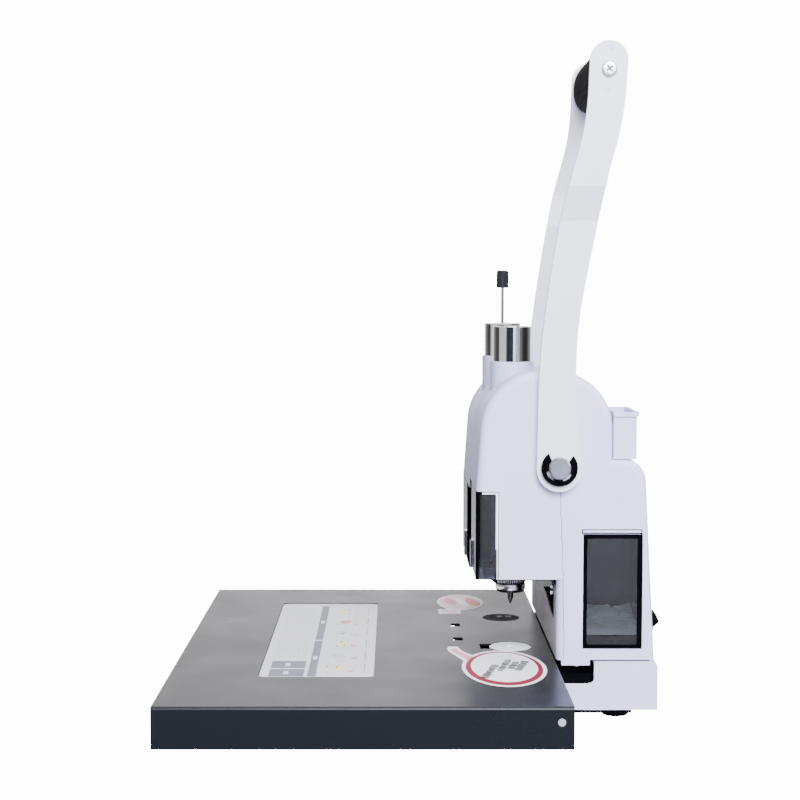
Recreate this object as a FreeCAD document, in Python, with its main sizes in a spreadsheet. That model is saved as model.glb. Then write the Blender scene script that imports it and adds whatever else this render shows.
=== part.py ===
import FreeCAD, Part
import math
import os
import re

import Sketcher
from FreeCAD import Placement, Rotation, Vector

# Document riveting machine: a desk machine that drills a stack of papers under its left tower and
# rivets the stack under its right tower. One lever drives both rams through pinions and racks.
#
# Frame, in millimetres: X to the operator's right, Y away from the operator, Z up.
# The origin lies under the middle of the machine, on the desk.

NODE_FOLDER = "parts"
document = FreeCAD.newDocument("riveting_machine")
sheet = document.addObject("Spreadsheet::Sheet", "sizes")

# ---------------------------------------------------------------- driving dimensions
DRIVING = {
    # table: a folded steel sheet with skirts on three sides
    "table_width": 450.0,
    "table_depth": 300.0,
    "table_skirt": 30.5,
    "table_sheet": 2.0,
    "table_lift": 13.0,
    "table_bend": 2.5,
    "card_length": 290.0,
    "card_width": 89.0,
    "card_front": 68.0,
    "card_shift": -9.4,
    "card_corner": 6.0,
    "card_recess": 1.2,
    "card_thick": 0.4,
    "gauge_slot_long": 12.0,
    "gauge_slot_wide": 8.0,
    "gauge_slot_ahead": 42.0,
    "gauge_slot_right": 2.0,
    "gauge_slot_left": -55.0,
    # stations under the two rams
    "rivet_x": 30.0,
    "drill_x": -87.0,
    "throat": 32.5,
    "pad_radius": 16.0,
    "pad_thick": 4.0,
    "pad_rim": 2.5,
    "anvil_radius": 17.0,
    "anvil_flange": 3.0,
    "anvil_notch_wide": 18.0,
    "anvil_notch_long": 8.0,
    "work_gap": 0.5,
    # base: a folded tray on runners and rubber feet
    "tray_lift": 6.4,
    "tray_height": 38.3,
    "tray_low": 21.2,
    "tray_step": 29.5,
    "tray_sheet": 2.0,
    "tray_right": 92.0,
    "tray_left": -151.5,
    "tray_ahead": 72.0,
    "tray_flange": 14.0,
    "tray_corner": 4.0,
    "runner_thick": 3.0,
    "runner_wide": 22.0,
    "foot_radius": 12.0,
    "foot_inset": 32.0,
    "front_foot_radius": 9.0,
    "front_foot_inset": 60.0,
    # column and towers
    "column_gap": 0.5,
    "rear_reach": 79.7,
    "switch_overhang": 2.8,
    "body_right": 88.5,
    "body_left": -148.0,
    "gap_right": -9.5,
    "gap_left": -21.5,
    "cover_depth": 8.5,
    "shell_wall": 2.5,
    "edge_round": 6.0,
    "shell_lift": 0.5,
    "flange_drop": 3.9,
    "flange_rise": 2.0,
    "flange_start": 4.0,
    "screw_head": 2.8,
    "screw_stem": 1.5,
    "screw_sink": 1.2,
    "screw_long": 5.0,
    "throat_height_right": 66.3,
    "throat_height_left": 56.5,
    "tower_overhang": 31.7,
    "tower_lean": 6.6,
    "window_height": 69.6,
    "window_wrap": 17.7,
    "window_wall": 2.0,
    "pull_height": 22.0,
    "pull_proud": 1.6,
    "dome_height": 75.2,
    "dome_drop_left": 7.2,
    "dome_back": 43.5,
    "dome_front_round": 50.0,
    "dome_rear_round": 46.0,
    "shoulder_height": 6.0,
    "shoulder_back": 69.1,
    "shoulder_round": 18.0,
    "skirt_back": 77.9,
    "collar_wall": 1.6,
    "collar_proud": 5.3,
    # frame plates inside the covers
    "frame_floor": 8.0,
    "frame_thick": 6.0,
    "frame_inset": 7.0,
    "frame_back": 55.0,
    "frame_neck": 16.0,
    "plate_gap": 0.5,
    "plate_inset": 2.0,
    # lever
    "pivot_height": 155.5,
    "shaft_radius": 8.65,
    "shaft_end": 102.0,
    "shaft_chamfer": 1.2,
    "arm_gap": 1.5,
    "arm_slot_gap": 3.5,
    "arm_thick": 5.0,
    "arm_end_radius": 17.4,
    "arm_eye_drop": 1.5,
    "arm_length": 314.0,
    "arm_tip_radius": 14.5,
    "arm_tip_back": 34.9,
    "joggle_start": 192.0,
    "joggle_rise": 26.0,
    "joggle_out": 9.0,
    "grip_half_tall": 21.0,
    "grip_half_wide": 14.0,
    "grip_below_tip": 7.2,
    "grip_tilt": 5.0,
    "grip_screw_radius": 6.0,
    "grip_pin_radius": 2.4,
    "grip_pin_reach": 15.8,
    "clip_radius": 14.3,
    "clip_thick": 1.2,
    "clip_relief": 10.8,
    "clip_turn": 6.0,
    "clip_stand": 1.6,
    "bush_wall": 2.5,
    "lever_swing": 75.0,
    # rack and pinion
    "gear_module": 1.5,
    "gear_teeth": 33.0,
    "gear_width": 10.0,
    "gear_backlash": 0.4,
    "rack_offset": 8.25,
    "ram_radius": 11.0,
    "ram_foot": 112.0,
    "ram_top": 290.0,
    "cap_radius": 15.75,
    "cap_proud": 28.7,
    "cap_skirt": 11.5,
    "guide_low": 184.0,
    "guide_high": 232.0,
    "guide_front": 17.0,
    "guide_back": 18.0,
    "guide_side": 19.0,
    "fit_gap": 0.05,
    "slide_gap": 0.4,
    # rivet head
    "rivet_head_radius": 12.3,
    "rivet_head_low": 46.5,
    "rivet_pin_radius": 2.5,
    "rivet_pin_long": 10.8,
    "guard_thick": 1.5,
    "guard_wide": 56.0,
    "guard_drop": 9.0,
    # drill unit
    "quill_foot": 152.0,
    "quill_bore": 5.05,
    "spindle_radius": 5.0,
    "spindle_bore": 1.7,
    "rod_radius": 1.35,
    "knob_radius": 5.35,
    "knob_tall": 15.4,
    "knob_clear": 31.3,
    "chuck_radius": 8.0,
    "chuck_tall": 24.0,
    "bit_radius": 3.0,
    "carriage_thick": 6.0,
    "motor_radius": 14.0,
    "motor_tall": 46.0,
    "motor_reach": 35.5,
    "pulley_radius": 9.0,
    "pulley_tall": 10.0,
    "belt_thick": 1.2,
    "belt_wide": 6.0,
    # waste bin in the right side of the column
    "bin_front": 20.5,
    "bin_long": 47.0,
    "bin_low": 9.2,
    "bin_tall": 91.5,
    "bin_deep": 52.0,
    "bin_wall": 1.8,
    "bin_gap": 0.5,
    "pocket_wall": 1.0,
    # tube holder behind the right dome
    "holder_wide": 60.0,
    "holder_deep": 18.7,
    "holder_tall": 37.0,
    "holder_lip": 1.4,
    "holder_rim": 3.4,
    "holder_wall": 1.8,
    # rear panel
    "switch_x": 70.0,
    "switch_z": 75.5,
    "switch_wide": 21.0,
    "switch_tall": 15.0,
    "switch_deep": 8.0,
    "inlet_x": -110.0,
    "inlet_wide": 28.0,
    "inlet_tall": 20.0,
    "board_deep": 44.0,
    "board_thick": 1.6,
    "board_stand": 6.0,
    "board_post": 2.5,
    "board_tall": 80.0,
    "bracket_top": 51.5,
    "bracket_tall": 21.0,
    "bracket_deep": 6.0,
    "bracket_wide": 24.0,
}

# ---------------------------------------------------------------- sizes worked out from them
DERIVED = {
    "overall_depth": "table_depth + column_gap + rear_reach + switch_overhang",
    "front_y": "-overall_depth / 2",
    "back_y": "front_y + table_depth",
    "column_y": "back_y + column_gap",
    "station_y": "column_y - throat",
    "base_back_y": "column_y + rear_reach",
    "tray_front_y": "column_y - tray_ahead",
    "step_y": "column_y + tray_step",
    "table_top_z": "table_lift + table_skirt",
    "tray_top_z": "tray_lift + tray_height",
    "shell_low_z": "tray_top_z + shell_lift",
    "head_low_right": "table_top_z + throat_height_right",
    "head_low_left": "table_top_z + throat_height_left",
    "window_top_right": "head_low_right + window_height",
    "window_top_left": "head_low_left + window_height",
    "pivot_z": "table_top_z + pivot_height",
    "pinion_radius": "gear_module * gear_teeth / 2",
    "pivot_y": "station_y + rack_offset + pinion_radius",
    "stroke": "pinion_radius * lever_swing * 0.017453292519943295",
    "dome_top_z": "pivot_z + dome_height",
    "dome_left_z": "dome_top_z - dome_drop_left",
    "dome_rear_y": "column_y + dome_back",
    "tower_front_y": "station_y - tower_overhang",
    "window_back_y": "tower_front_y + window_wrap",
    "shoulder_z": "pivot_z + shoulder_height",
    "shoulder_y": "column_y + shoulder_back",
    "skirt_y": "column_y + skirt_back",
    "seam_right": "body_right - cover_depth",
    "seam_left": "body_left + cover_depth",
    "collar_top_z": "dome_top_z + collar_proud",
    "cap_top_z": "collar_top_z + cap_proud",
    "cap_low_z": "collar_top_z - cap_skirt",
    "cap_bore": "cap_radius + slide_gap",
    "floor_low_z": "tray_lift + tray_low",
    "floor_top_z": "floor_low_z + frame_floor",
    "arm_right_in": "body_right + arm_gap",
    "arm_left_in": "gap_right - arm_slot_gap",
    "grip_right": "arm_right_in + joggle_out",
    "grip_left": "arm_left_in - joggle_out",
    "grip_z": "pivot_z + arm_length - grip_below_tip",
    "grip_y": "pivot_y + arm_tip_back",
    "plate_right": "seam_right - plate_inset",
    "plate_left": "seam_left + plate_inset",
    "shaft_start": "plate_left + work_gap",
    "plate_mid_right": "gap_right + shell_wall + plate_gap",
    "plate_mid_left": "gap_left - shell_wall - plate_gap",
    "rivet_head_z": "table_top_z + rivet_head_low",
    "bit_tip_z": "table_top_z + stroke + work_gap",
    "motor_x": "drill_x + motor_reach",
    "motor_y": "station_y + 1",
    "pulley_low_z": "quill_foot - pulley_tall - 3",
    "knob_low_z": "cap_top_z + knob_clear",
    "bin_front_y": "column_y + bin_front",
    "bin_low_z": "shell_low_z + bin_low",
    "holder_right": "body_right - 2",
    "anvil_seat_z": "table_top_z - anvil_flange",
    "pad_low_z": "table_top_z - pad_thick",
}


def fill_sheet():
    """Write the sizes into the sheet: a name in column A and its value, under that alias, in column B."""
    row = 0
    for table in (DRIVING, DERIVED):
        for name, value in table.items():
            row += 1
            sheet.set("A%d" % row, name)
            sheet.set("B%d" % row, str(value) if isinstance(value, float) else "=" + value)
            sheet.setAlias("B%d" % row, name)
    document.recompute()


fill_sheet()
NAMES = sorted(list(DRIVING) + list(DERIVED), key=len, reverse=True)
WORD = re.compile(r"\b(" + "|".join(NAMES) + r")\b")


def linked(text):
    """The expression that reads the sheet, from one written with bare size names."""
    return WORD.sub(r"sizes.\1", str(text))


def size(text):
    """The present value of an expression written with size names."""
    value = sheet.evalExpression(linked(text))
    return float(getattr(value, "Value", value))


def bind(thing, prop, text):
    """Bind a property to an expression."""
    thing.setExpression(prop, linked(text))


def place(thing, at):
    """Bind the three coordinates of a Placement."""
    for axis, text in zip("xyz", at):
        bind(thing, ".Placement.Base." + axis, text)


# ---------------------------------------------------------------- building blocks
TURN_TO = {
    "X": Rotation(Vector(0, 1, 0), 90),
    "Y": Rotation(Vector(1, 0, 0), -90),
    "Z": Rotation(),
}


def box(name, x_span, y_span, z_span):
    """A box between pairs of expressions."""
    block = document.addObject("Part::Box", name)
    for prop, span in zip(("Length", "Width", "Height"), (x_span, y_span, z_span)):
        bind(block, prop, "(%s) - (%s)" % (span[1], span[0]))
    place(block, (x_span[0], y_span[0], z_span[0]))
    return block


def rod(name, axis, at, radius, length):
    """A cylinder that starts at a point and runs along +axis."""
    bar = document.addObject("Part::Cylinder", name)
    bar.Placement = Placement(Vector(), TURN_TO[axis])
    bind(bar, "Radius", radius)
    bind(bar, "Height", length)
    place(bar, at)
    return bar


def fuse(name, *pieces):
    """One solid from pieces that touch."""
    joined = document.addObject("Part::MultiFuse", name)
    joined.Shapes = list(pieces)
    joined.Refine = True
    return joined


def cut(name, stock, *tools):
    """The stock less its tools."""
    removed = document.addObject("Part::Cut", name)
    removed.Base = stock
    removed.Tool = tools[0] if len(tools) == 1 else fuse(name + "_tools", *tools)
    removed.Refine = True
    return removed


def group(name, *pieces):
    """Separate solids in one node."""
    gathered = document.addObject("Part::Compound", name)
    gathered.Links = list(pieces)
    return gathered


PLANE = {"XY": "XY_Plane", "XZ": "XZ_Plane", "YZ": "YZ_Plane"}


def origin_plane(body, plane):
    """The body's own origin plane."""
    for feature in body.Origin.OriginFeatures:
        if feature.Role == PLANE[plane]:
            return feature
    raise RuntimeError("no plane " + plane)


def outline(body, name, plane, points, level="0"):
    """A closed sketch of straight lines through bound points, at a level along the plane's normal."""
    sketch = body.newObject("Sketcher::SketchObject", name)
    sketch.AttachmentSupport = [(origin_plane(body, plane), "")]
    sketch.MapMode = "FlatFace"
    bind(sketch, ".AttachmentOffset.Base.z", level)
    corners = [Vector(size(a), size(b), 0) for a, b in points]
    count = len(corners)
    for index in range(count):
        sketch.addGeometry(Part.LineSegment(corners[index], corners[(index + 1) % count]), False)
    for index in range(count):
        sketch.addConstraint(Sketcher.Constraint("Coincident", index, 2, (index + 1) % count, 1))
    for index, (across, along) in enumerate(points):
        for kind, text, value in (
            ("DistanceX", across, corners[index].x),
            ("DistanceY", along, corners[index].y),
        ):
            number = sketch.addConstraint(Sketcher.Constraint(kind, -1, 1, index, 1, value))
            sketch.setExpression("Constraints[%d]" % number, linked(text))
    return sketch


def matching(shape, test):
    """The names of a shape's edges that pass a test."""
    return ["Edge%d" % (index + 1) for index, edge in enumerate(shape.Edges) if test(edge)]


def runs_at(plane, across, along):
    """A test for the straight edge of a prism over one corner of its outline."""
    keep = {"XY": (0, 1, 2), "XZ": (0, 2, 1), "YZ": (1, 2, 0)}[plane]

    def test(edge):
        ends = [vertex.Point for vertex in edge.Vertexes]
        if len(ends) != 2 or abs(ends[0][keep[2]] - ends[1][keep[2]]) < 1e-3:
            return False
        return all(
            abs(end[keep[0]] - across) < 1e-3 and abs(end[keep[1]] - along) < 1e-3 for end in ends
        )

    return test


def prism(name, plane, points, low, high, rounds=(), face_round=None):
    """A padded outline between two levels, with corner radii and a rounded rim on one end face.

    rounds: (corner number, radius) pairs. face_round: (level, radius, test on the edge's middle).
    """
    body = document.addObject("PartDesign::Body", name)
    level = "-(%s)" % high if plane == "XZ" else low
    sketch = outline(body, name + "_sketch", plane, points, level)
    pad = body.newObject("PartDesign::Pad", name + "_pad")
    pad.Profile = sketch
    bind(pad, "Length", "(%s) - (%s)" % (high, low))
    document.recompute()
    last = pad
    for number, (corner, radius) in enumerate(rounds):
        across, along = points[corner]
        test = runs_at(plane, size(across), size(along))
        last = edge_fillet(body, last, "%s_round%d" % (name, number), test, radius)
    if face_round:
        at, radius, wanted = face_round
        axis = {"XY": 2, "XZ": 1, "YZ": 0}[plane]

        def on_face(edge):
            middle = edge.valueAt((edge.FirstParameter + edge.LastParameter) / 2)
            flat = all(abs(vertex.Point[axis] - size(at)) < 1e-3 for vertex in edge.Vertexes)
            return flat and abs(middle[axis] - size(at)) < 1e-3 and wanted(middle)

        last = edge_fillet(body, last, name + "_rim", on_face, radius)
    body.Tip = last
    return body


def edge_fillet(body, base, name, test, radius):
    """A fillet in a body on the edges that pass a test."""
    fillet = body.newObject("PartDesign::Fillet", name)
    fillet.Base = (base, matching(base.Shape, test))
    bind(fillet, "Radius", radius)
    document.recompute()
    return fillet


def turned(name, axis, profile, at):
    """A solid of revolution: (radius, height) pairs about an upright axis, or (x, radius) about X."""
    body = document.addObject("PartDesign::Body", name)
    sketch = outline(body, name + "_sketch", "XZ" if axis == "Z" else "XY", profile)
    turn = body.newObject("PartDesign::Revolution", name + "_turn")
    turn.Profile = sketch
    turn.ReferenceAxis = (sketch, ["V_Axis" if axis == "Z" else "H_Axis"])
    turn.Angle = 360.0
    place(body, at)
    body.Tip = turn
    return body


def made(name, shape):
    """A Part feature whose shape comes from Part's own functions."""
    feature = document.addObject("Part::Feature", name)
    feature.Shape = shape
    return feature


nodes = []


def node(label, thing):
    """Name a finished sub-part."""
    thing.Label = label
    nodes.append(thing)
    return thing


# ---------------------------------------------------------------- table
def slot_plate(name, x_mid, y_mid, x_long, y_long, low, high, corner):
    """An upright rounded bar that cuts a slot."""
    points = [
        ("%s - %s / 2" % (x_mid, x_long), "%s - %s / 2" % (y_mid, y_long)),
        ("%s + %s / 2" % (x_mid, x_long), "%s - %s / 2" % (y_mid, y_long)),
        ("%s + %s / 2" % (x_mid, x_long), "%s + %s / 2" % (y_mid, y_long)),
        ("%s - %s / 2" % (x_mid, x_long), "%s + %s / 2" % (y_mid, y_long)),
    ]
    return prism(name, "XY", points, low, high, [(index, corner) for index in range(4)])


def skirt_screw(name, sign):
    """A screw whose head lies flush in one skirt of the table: +1 right, -1 left."""
    face = "%d * table_width / 2" % sign
    head_low = "%s - screw_sink" % face if sign > 0 else face
    stem_low = "%s - screw_long" % face if sign > 0 else face
    at_y, at_z = "back_y - 9", "table_top_z - 11"
    return fuse(
        name, rod(name + "_head", "X", (head_low, at_y, at_z), "screw_head", "screw_sink"),
        rod(name + "_stem", "X", (stem_low, at_y, at_z), "screw_stem", "screw_long"),
    )


def build_table():
    """The folded table sheet with its recess, slots and station holes, and the card in the recess."""
    half = "table_width / 2"
    section = [
        ("-%s" % half, "table_lift"),
        ("%s" % half, "table_lift"),
        ("%s" % half, "table_top_z"),
        ("-%s" % half, "table_top_z"),
    ]
    bends = [(2, "table_bend"), (3, "table_bend")]
    block = prism("table_block", "XZ", section, "front_y", "back_y", bends)
    hollow = box(
        "table_hollow",
        ("-%s + table_sheet" % half, "%s - table_sheet" % half),
        ("front_y + table_sheet", "back_y - table_sheet"),
        ("table_lift - 1", "table_top_z - table_sheet"),
    )
    rear = box(
        "table_rear_opening",
        ("-%s + table_sheet" % half, "%s - table_sheet" % half),
        ("back_y - 2 * table_sheet", "back_y + 1"),
        ("table_lift - 1", "floor_top_z"),
    )
    recess = slot_plate(
        "card_pocket", "card_shift", "(front_y + card_front + card_width / 2)",
        "card_length", "card_width", "table_top_z - card_recess", "table_top_z + 1", "card_corner",
    )
    slots = [
        slot_plate(
            "gauge_slot_" + side, "gauge_slot_" + side, "(station_y - gauge_slot_ahead)",
            "gauge_slot_long", "gauge_slot_wide", "table_top_z - 5", "table_top_z + 1", "1",
        )
        for side in ("right", "left")
    ]
    low = "table_top_z - 2 * table_sheet"
    anvil_hole = rod("anvil_hole", "Z", ("rivet_x", "station_y", low), "anvil_radius + work_gap", "9")
    notch = box(
        "anvil_notch",
        ("rivet_x - anvil_notch_wide / 2", "rivet_x + anvil_notch_wide / 2"),
        ("station_y - anvil_radius - anvil_notch_long", "station_y"),
        (low, "table_top_z + 1"),
    )
    pad_hole = rod("pad_hole", "Z", ("drill_x", "station_y", low), "pad_radius + work_gap", "9")
    node("table_top", cut(
        "table_sheet_metal", block, hollow, rear, recess, *slots, anvil_hole, notch, pad_hole,
        skirt_screw("skirt_bore_right", 1), skirt_screw("skirt_bore_left", -1),
    ))
    node("instruction_card", slot_plate(
        "card", "card_shift", "(front_y + card_front + card_width / 2)",
        "(card_length - 1)", "(card_width - 1)", "table_top_z - card_recess",
        "table_top_z - card_recess + card_thick", "card_corner - 0.5",
    ))


def build_stations():
    """The drill pad in its seat and the heated anvil in its block, both on the frame floor."""
    node("drill_pad", turned(
        "pad", "Z",
        [("0", "pad_low_z"), ("pad_radius", "pad_low_z"), ("pad_radius", "table_top_z"),
         ("0", "table_top_z")],
        ("drill_x", "station_y", "0"),
    ))
    seat_radius = "pad_radius - pad_rim"
    node("drill_pad_seat", turned(
        "pad_seat", "Z",
        [("0", "floor_top_z"), (seat_radius, "floor_top_z"), (seat_radius, "pad_low_z"),
         ("0", "pad_low_z")],
        ("drill_x", "station_y", "0"),
    ))
    node("rivet_anvil", turned(
        "anvil", "Z",
        [("0", "anvil_seat_z"), ("anvil_radius", "anvil_seat_z"), ("anvil_radius", "table_top_z - 0.4"),
         ("anvil_radius - 0.6", "table_top_z - 0.1"), ("rivet_pin_radius + 1.5", "table_top_z - 0.1"),
         ("rivet_pin_radius", "table_top_z - 1.2"), ("0", "table_top_z - 1.2")],
        ("rivet_x", "station_y", "0"),
    ))
    node("anvil_heater", turned(
        "heater", "Z",
        [("0", "floor_top_z"), ("anvil_radius - 2", "floor_top_z"),
         ("anvil_radius - 2", "anvil_seat_z"), ("0", "anvil_seat_z")],
        ("rivet_x", "station_y", "0"),
    ))


# ---------------------------------------------------------------- base
def build_base():
    """The folded tray, the runners and feet under it and the frame floor in it."""
    side = [
        ("tray_front_y", "tray_lift"),
        ("base_back_y", "tray_lift"),
        ("base_back_y", "tray_top_z"),
        ("step_y", "tray_top_z"),
        ("step_y", "tray_lift + tray_low"),
        ("tray_front_y", "tray_lift + tray_low"),
    ]
    rounds = [(2, "tray_corner"), (4, "tray_corner")]
    block = prism("tray_block", "YZ", side, "tray_left", "tray_right", rounds)
    hollow = box(
        "tray_hollow", ("tray_left + tray_sheet", "tray_right - tray_sheet"),
        ("tray_front_y + tray_sheet", "base_back_y - tray_sheet"),
        ("tray_lift + tray_sheet", "tray_top_z - tray_sheet"),
    )
    mouth = box(
        "tray_mouth", ("tray_left + tray_flange", "tray_right - tray_flange"),
        ("tray_front_y + tray_sheet", "base_back_y - tray_flange"), ("tray_lift + 5", "tray_top_z + 1"),
    )
    front_mouth = box(
        "tray_front_mouth", ("tray_left + tray_sheet", "tray_right - tray_sheet"),
        ("tray_front_y + tray_sheet", "step_y + 0.1"), ("tray_lift + tray_sheet", "tray_top_z + 1"),
    )
    node("base_tray", cut("tray", block, hollow, mouth, front_mouth))
    rails = []
    feet = []
    for side_name, middle in (
        ("right", "tray_right - foot_radius - 2"), ("left", "tray_left + foot_radius + 2"),
    ):
        rails.append(box(
            "runner_" + side_name, ("%s - runner_wide / 2" % middle, "%s + runner_wide / 2" % middle),
            ("tray_front_y + 6", "base_back_y - foot_inset + 12"), ("tray_lift - runner_thick", "tray_lift"),
        ))
        for end_name, along in (
            ("rear", "base_back_y - foot_inset"), ("middle", "tray_front_y + foot_radius + 8"),
        ):
            feet.append(foot(
                "foot_%s_%s" % (side_name, end_name), "foot_radius", "tray_lift - runner_thick",
                (middle, along, "0"),
            ))
    for side_name, across in (
        ("right", "table_width / 2 - front_foot_inset"), ("left", "-table_width / 2 + front_foot_inset"),
    ):
        feet.append(foot(
            "table_foot_" + side_name, "front_foot_radius", "table_top_z - table_sheet",
            (across, "front_y + front_foot_inset", "0"),
        ))
    node("runner_rails", group("runners", *rails))
    node("rubber_feet", group("feet", *feet))
    level = ("floor_low_z", "floor_top_z")
    ledge = box(
        "floor_ledge", ("tray_left", "tray_right"), ("tray_front_y", "step_y - tray_corner - work_gap"), level,
    )
    inside = box(
        "floor_inside", ("tray_left + tray_sheet + work_gap", "tray_right - tray_sheet - work_gap"),
        ("tray_front_y + tray_sheet", "base_back_y - tray_sheet - work_gap"), level,
    )
    node("frame_floor_plate", fuse("floor_plate", ledge, inside))


def foot(name, radius, top, at):
    """A rubber foot with a rolled lower edge, standing on the desk."""
    return turned(
        name, "Z",
        [("0", "0"), ("%s - 2" % radius, "0"), (radius, "2"), (radius, top), ("0", top)], at,
    )


# ---------------------------------------------------------------- covers
RIGHT_LEVELS = ("head_low_right", "window_top_right", "dome_top_z")
LEFT_LEVELS = ("head_low_left", "window_top_left", "dome_left_z")


def side_outline(levels, inset="0"):
    """The outline of one side of the body, drawn in by an inset.

    levels: the heights of the head's underside, the window's top and the dome's top.
    """
    head_low, window_top, dome_top = levels
    return [
        ("window_back_y + %s" % inset, "%s + %s" % (head_low, inset)),
        ("column_y + %s" % inset, "%s + %s" % (head_low, inset)),
        ("column_y + %s" % inset, "shell_low_z + %s" % inset),
        ("skirt_y - %s" % inset, "shell_low_z + %s" % inset),
        ("shoulder_y - %s" % inset, "shoulder_z - %s" % inset),
        ("dome_rear_y - %s" % inset, "shoulder_z - %s" % inset),
        ("dome_rear_y - %s" % inset, "%s - %s" % (dome_top, inset)),
        ("tower_front_y + tower_lean + %s" % inset, "%s - %s" % (dome_top, inset)),
        ("tower_front_y + %s" % inset, "%s + %s" % (window_top, inset)),
        ("window_back_y + %s" % inset, "%s + %s" % (window_top, inset)),
    ]


def side_rounds(inset="0"):
    """Corner radii of the side outline."""
    return [
        (4, "shoulder_round - %s" % inset),
        (6, "dome_rear_round - %s" % inset),
        (7, "dome_front_round - %s" % inset),
    ]


def side_cover(name, seam, face, levels):
    """A pan-shaped cover for one side of the body, with a rounded rim."""
    low, high = (seam, face) if "right" in name else (face, seam)
    head_low, window_top, _ = levels
    low_margin = size(head_low) + 0.5

    def rim(middle):
        behind = middle.y > size("window_back_y") + 0.5
        above = middle.z > size(window_top) + 0.5
        under_head = behind and abs(middle.z - low_margin + 0.5) < 0.01
        return (behind or above) and not under_head and middle.z > size("shell_low_z") + 0.5

    shell = prism(
        name + "_block", "YZ", side_outline(levels), low, high, side_rounds(),
        (face, "edge_round", rim),
    )
    wall = "shell_wall"
    span = (low, "%s - %s" % (high, wall)) if "right" in name else ("%s + %s" % (low, wall), high)
    hollow = prism(
        name + "_hollow", "YZ", side_outline(levels, "edge_round"),
        "%s - 1" % span[0] if "right" in name else span[0],
        span[1] if "right" in name else "%s + 1" % span[1], side_rounds("edge_round"),
    )
    return shell, hollow


def cover_flange(side, low):
    """The flange at the foot of a side cover, over the open corner of the base tray."""
    return box(
        "flange_" + side, (low, "%s + cover_depth" % low), ("column_y + flange_start", "step_y - 3"),
        ("shell_low_z - flange_drop", "shell_low_z + flange_rise"),
    )


def cover_screw(name, across):
    """A screw that comes up through the flange of a side cover, with its head below it."""
    low = "shell_low_z - flange_drop - screw_sink"
    return fuse(
        name, rod(name + "_head", "Z", (across, "column_y + 16", low), "screw_head", "screw_sink"),
        rod(name + "_stem", "Z", (across, "column_y + 16", low), "screw_stem", "screw_long"),
    )


def build_side_covers():
    """The two side covers: the right one has the bin's opening and the shaft's hole."""
    shell, hollow = side_cover("side_cover_right", "seam_right", "body_right", RIGHT_LEVELS)
    opening = box(
        "bin_opening", ("seam_right - 1", "body_right + 1"),
        ("bin_front_y", "bin_front_y + bin_long"), ("bin_low_z", "bin_low_z + bin_tall"),
    )
    hole = rod("shaft_hole", "X", ("seam_right - 1", "pivot_y", "pivot_z"), "shaft_radius + 0.6", "20")
    pan = cut("side_right", shell, hollow, opening, hole)
    node("side_cover_right", cut(
        "side_right_bored", fuse("side_right_flanged", pan, cover_flange("right", "seam_right")),
        cover_screw("flange_bore_right", "seam_right + cover_depth / 2"),
    ))
    shell, hollow = side_cover("side_cover_left", "seam_left", "body_left", LEFT_LEVELS)
    pan = cut("side_left", shell, hollow)
    node("side_cover_left", cut(
        "side_left_bored", fuse("side_left_flanged", pan, cover_flange("left", "body_left")),
        cover_screw("flange_bore_left", "body_left + cover_depth / 2"),
    ))


def tower_outline(levels, inset="0"):
    """The outline of a tower seen from the side: head, dome and the shoulder behind it."""
    points = side_outline(levels, inset)
    return [
        points[0],
        ("column_y + %s" % inset, "%s + %s" % (levels[0], inset)),
        ("column_y + %s" % inset, "shoulder_z - %s" % inset),
        points[5], points[6], points[7], points[8], points[9],
    ]


def tower_cover(name, low, high, open_right, station, levels):
    """The front and top shell of a tower, with a neck for its ram and a mouth under it."""
    head_low, window_top, dome_top = levels
    block = prism(
        name + "_block", "YZ", tower_outline(levels), low, high,
        [(4, "dome_rear_round"), (5, "dome_front_round")],
    )
    inner_low = "%s - 1" % low if not open_right else "%s + shell_wall" % low
    inner_high = "%s + 1" % high if open_right else "%s - shell_wall" % high
    hollow = prism(
        name + "_hollow", "YZ", tower_outline(levels, "shell_wall"),
        inner_low, inner_high,
        [(4, "dome_rear_round - shell_wall"), (5, "dome_front_round - shell_wall")],
    )
    inner_span = (inner_low, inner_high)
    back = box(
        name + "_back", inner_span, ("column_y - 1", "dome_rear_y + 1"),
        ("%s - 1" % head_low, "shoulder_z - shell_wall - 0.01"),
    )
    view = box(
        name + "_view", inner_span, ("window_back_y - 1", "window_back_y + shell_wall + 1"),
        ("%s + shell_wall" % head_low, "%s + shell_wall + 1" % window_top),
    )
    neck_low = "%s - dome_front_round" % dome_top
    neck = rod(
        name + "_neck", "Z", (station, "station_y", neck_low), "cap_bore + collar_wall",
        "collar_top_z - (%s)" % neck_low,
    )
    bore = rod(
        name + "_bore", "Z", (station, "station_y", "%s - 1" % neck_low), "cap_bore",
        "collar_top_z - (%s) + 2" % neck_low,
    )
    mouth = box(
        name + "_mouth", ("%s - 20" % station, "%s + 20" % station),
        ("station_y - 16", "station_y + 18"), ("%s - 1" % head_low, "%s + 8" % head_low),
    )
    shaft = rod(
        name + "_shaft", "X", ("%s - 1" % low, "pivot_y", "pivot_z"), "shaft_radius + 0.6",
        "%s - (%s) + 2" % (high, low),
    )
    return cut(name + "_shell", fuse(name + "_outer", block, neck), hollow, back, view, bore, mouth, shaft)


def build_tower_covers():
    """The right tower over the rivet ram and the left one over the drill ram."""
    node("tower_cover_right", tower_cover(
        "tower_right", "gap_right", "seam_right", True, "rivet_x", RIGHT_LEVELS,
    ))
    node("tower_cover_left", tower_cover(
        "tower_left", "seam_left", "gap_left", False, "drill_x", LEFT_LEVELS,
    ))


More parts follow.
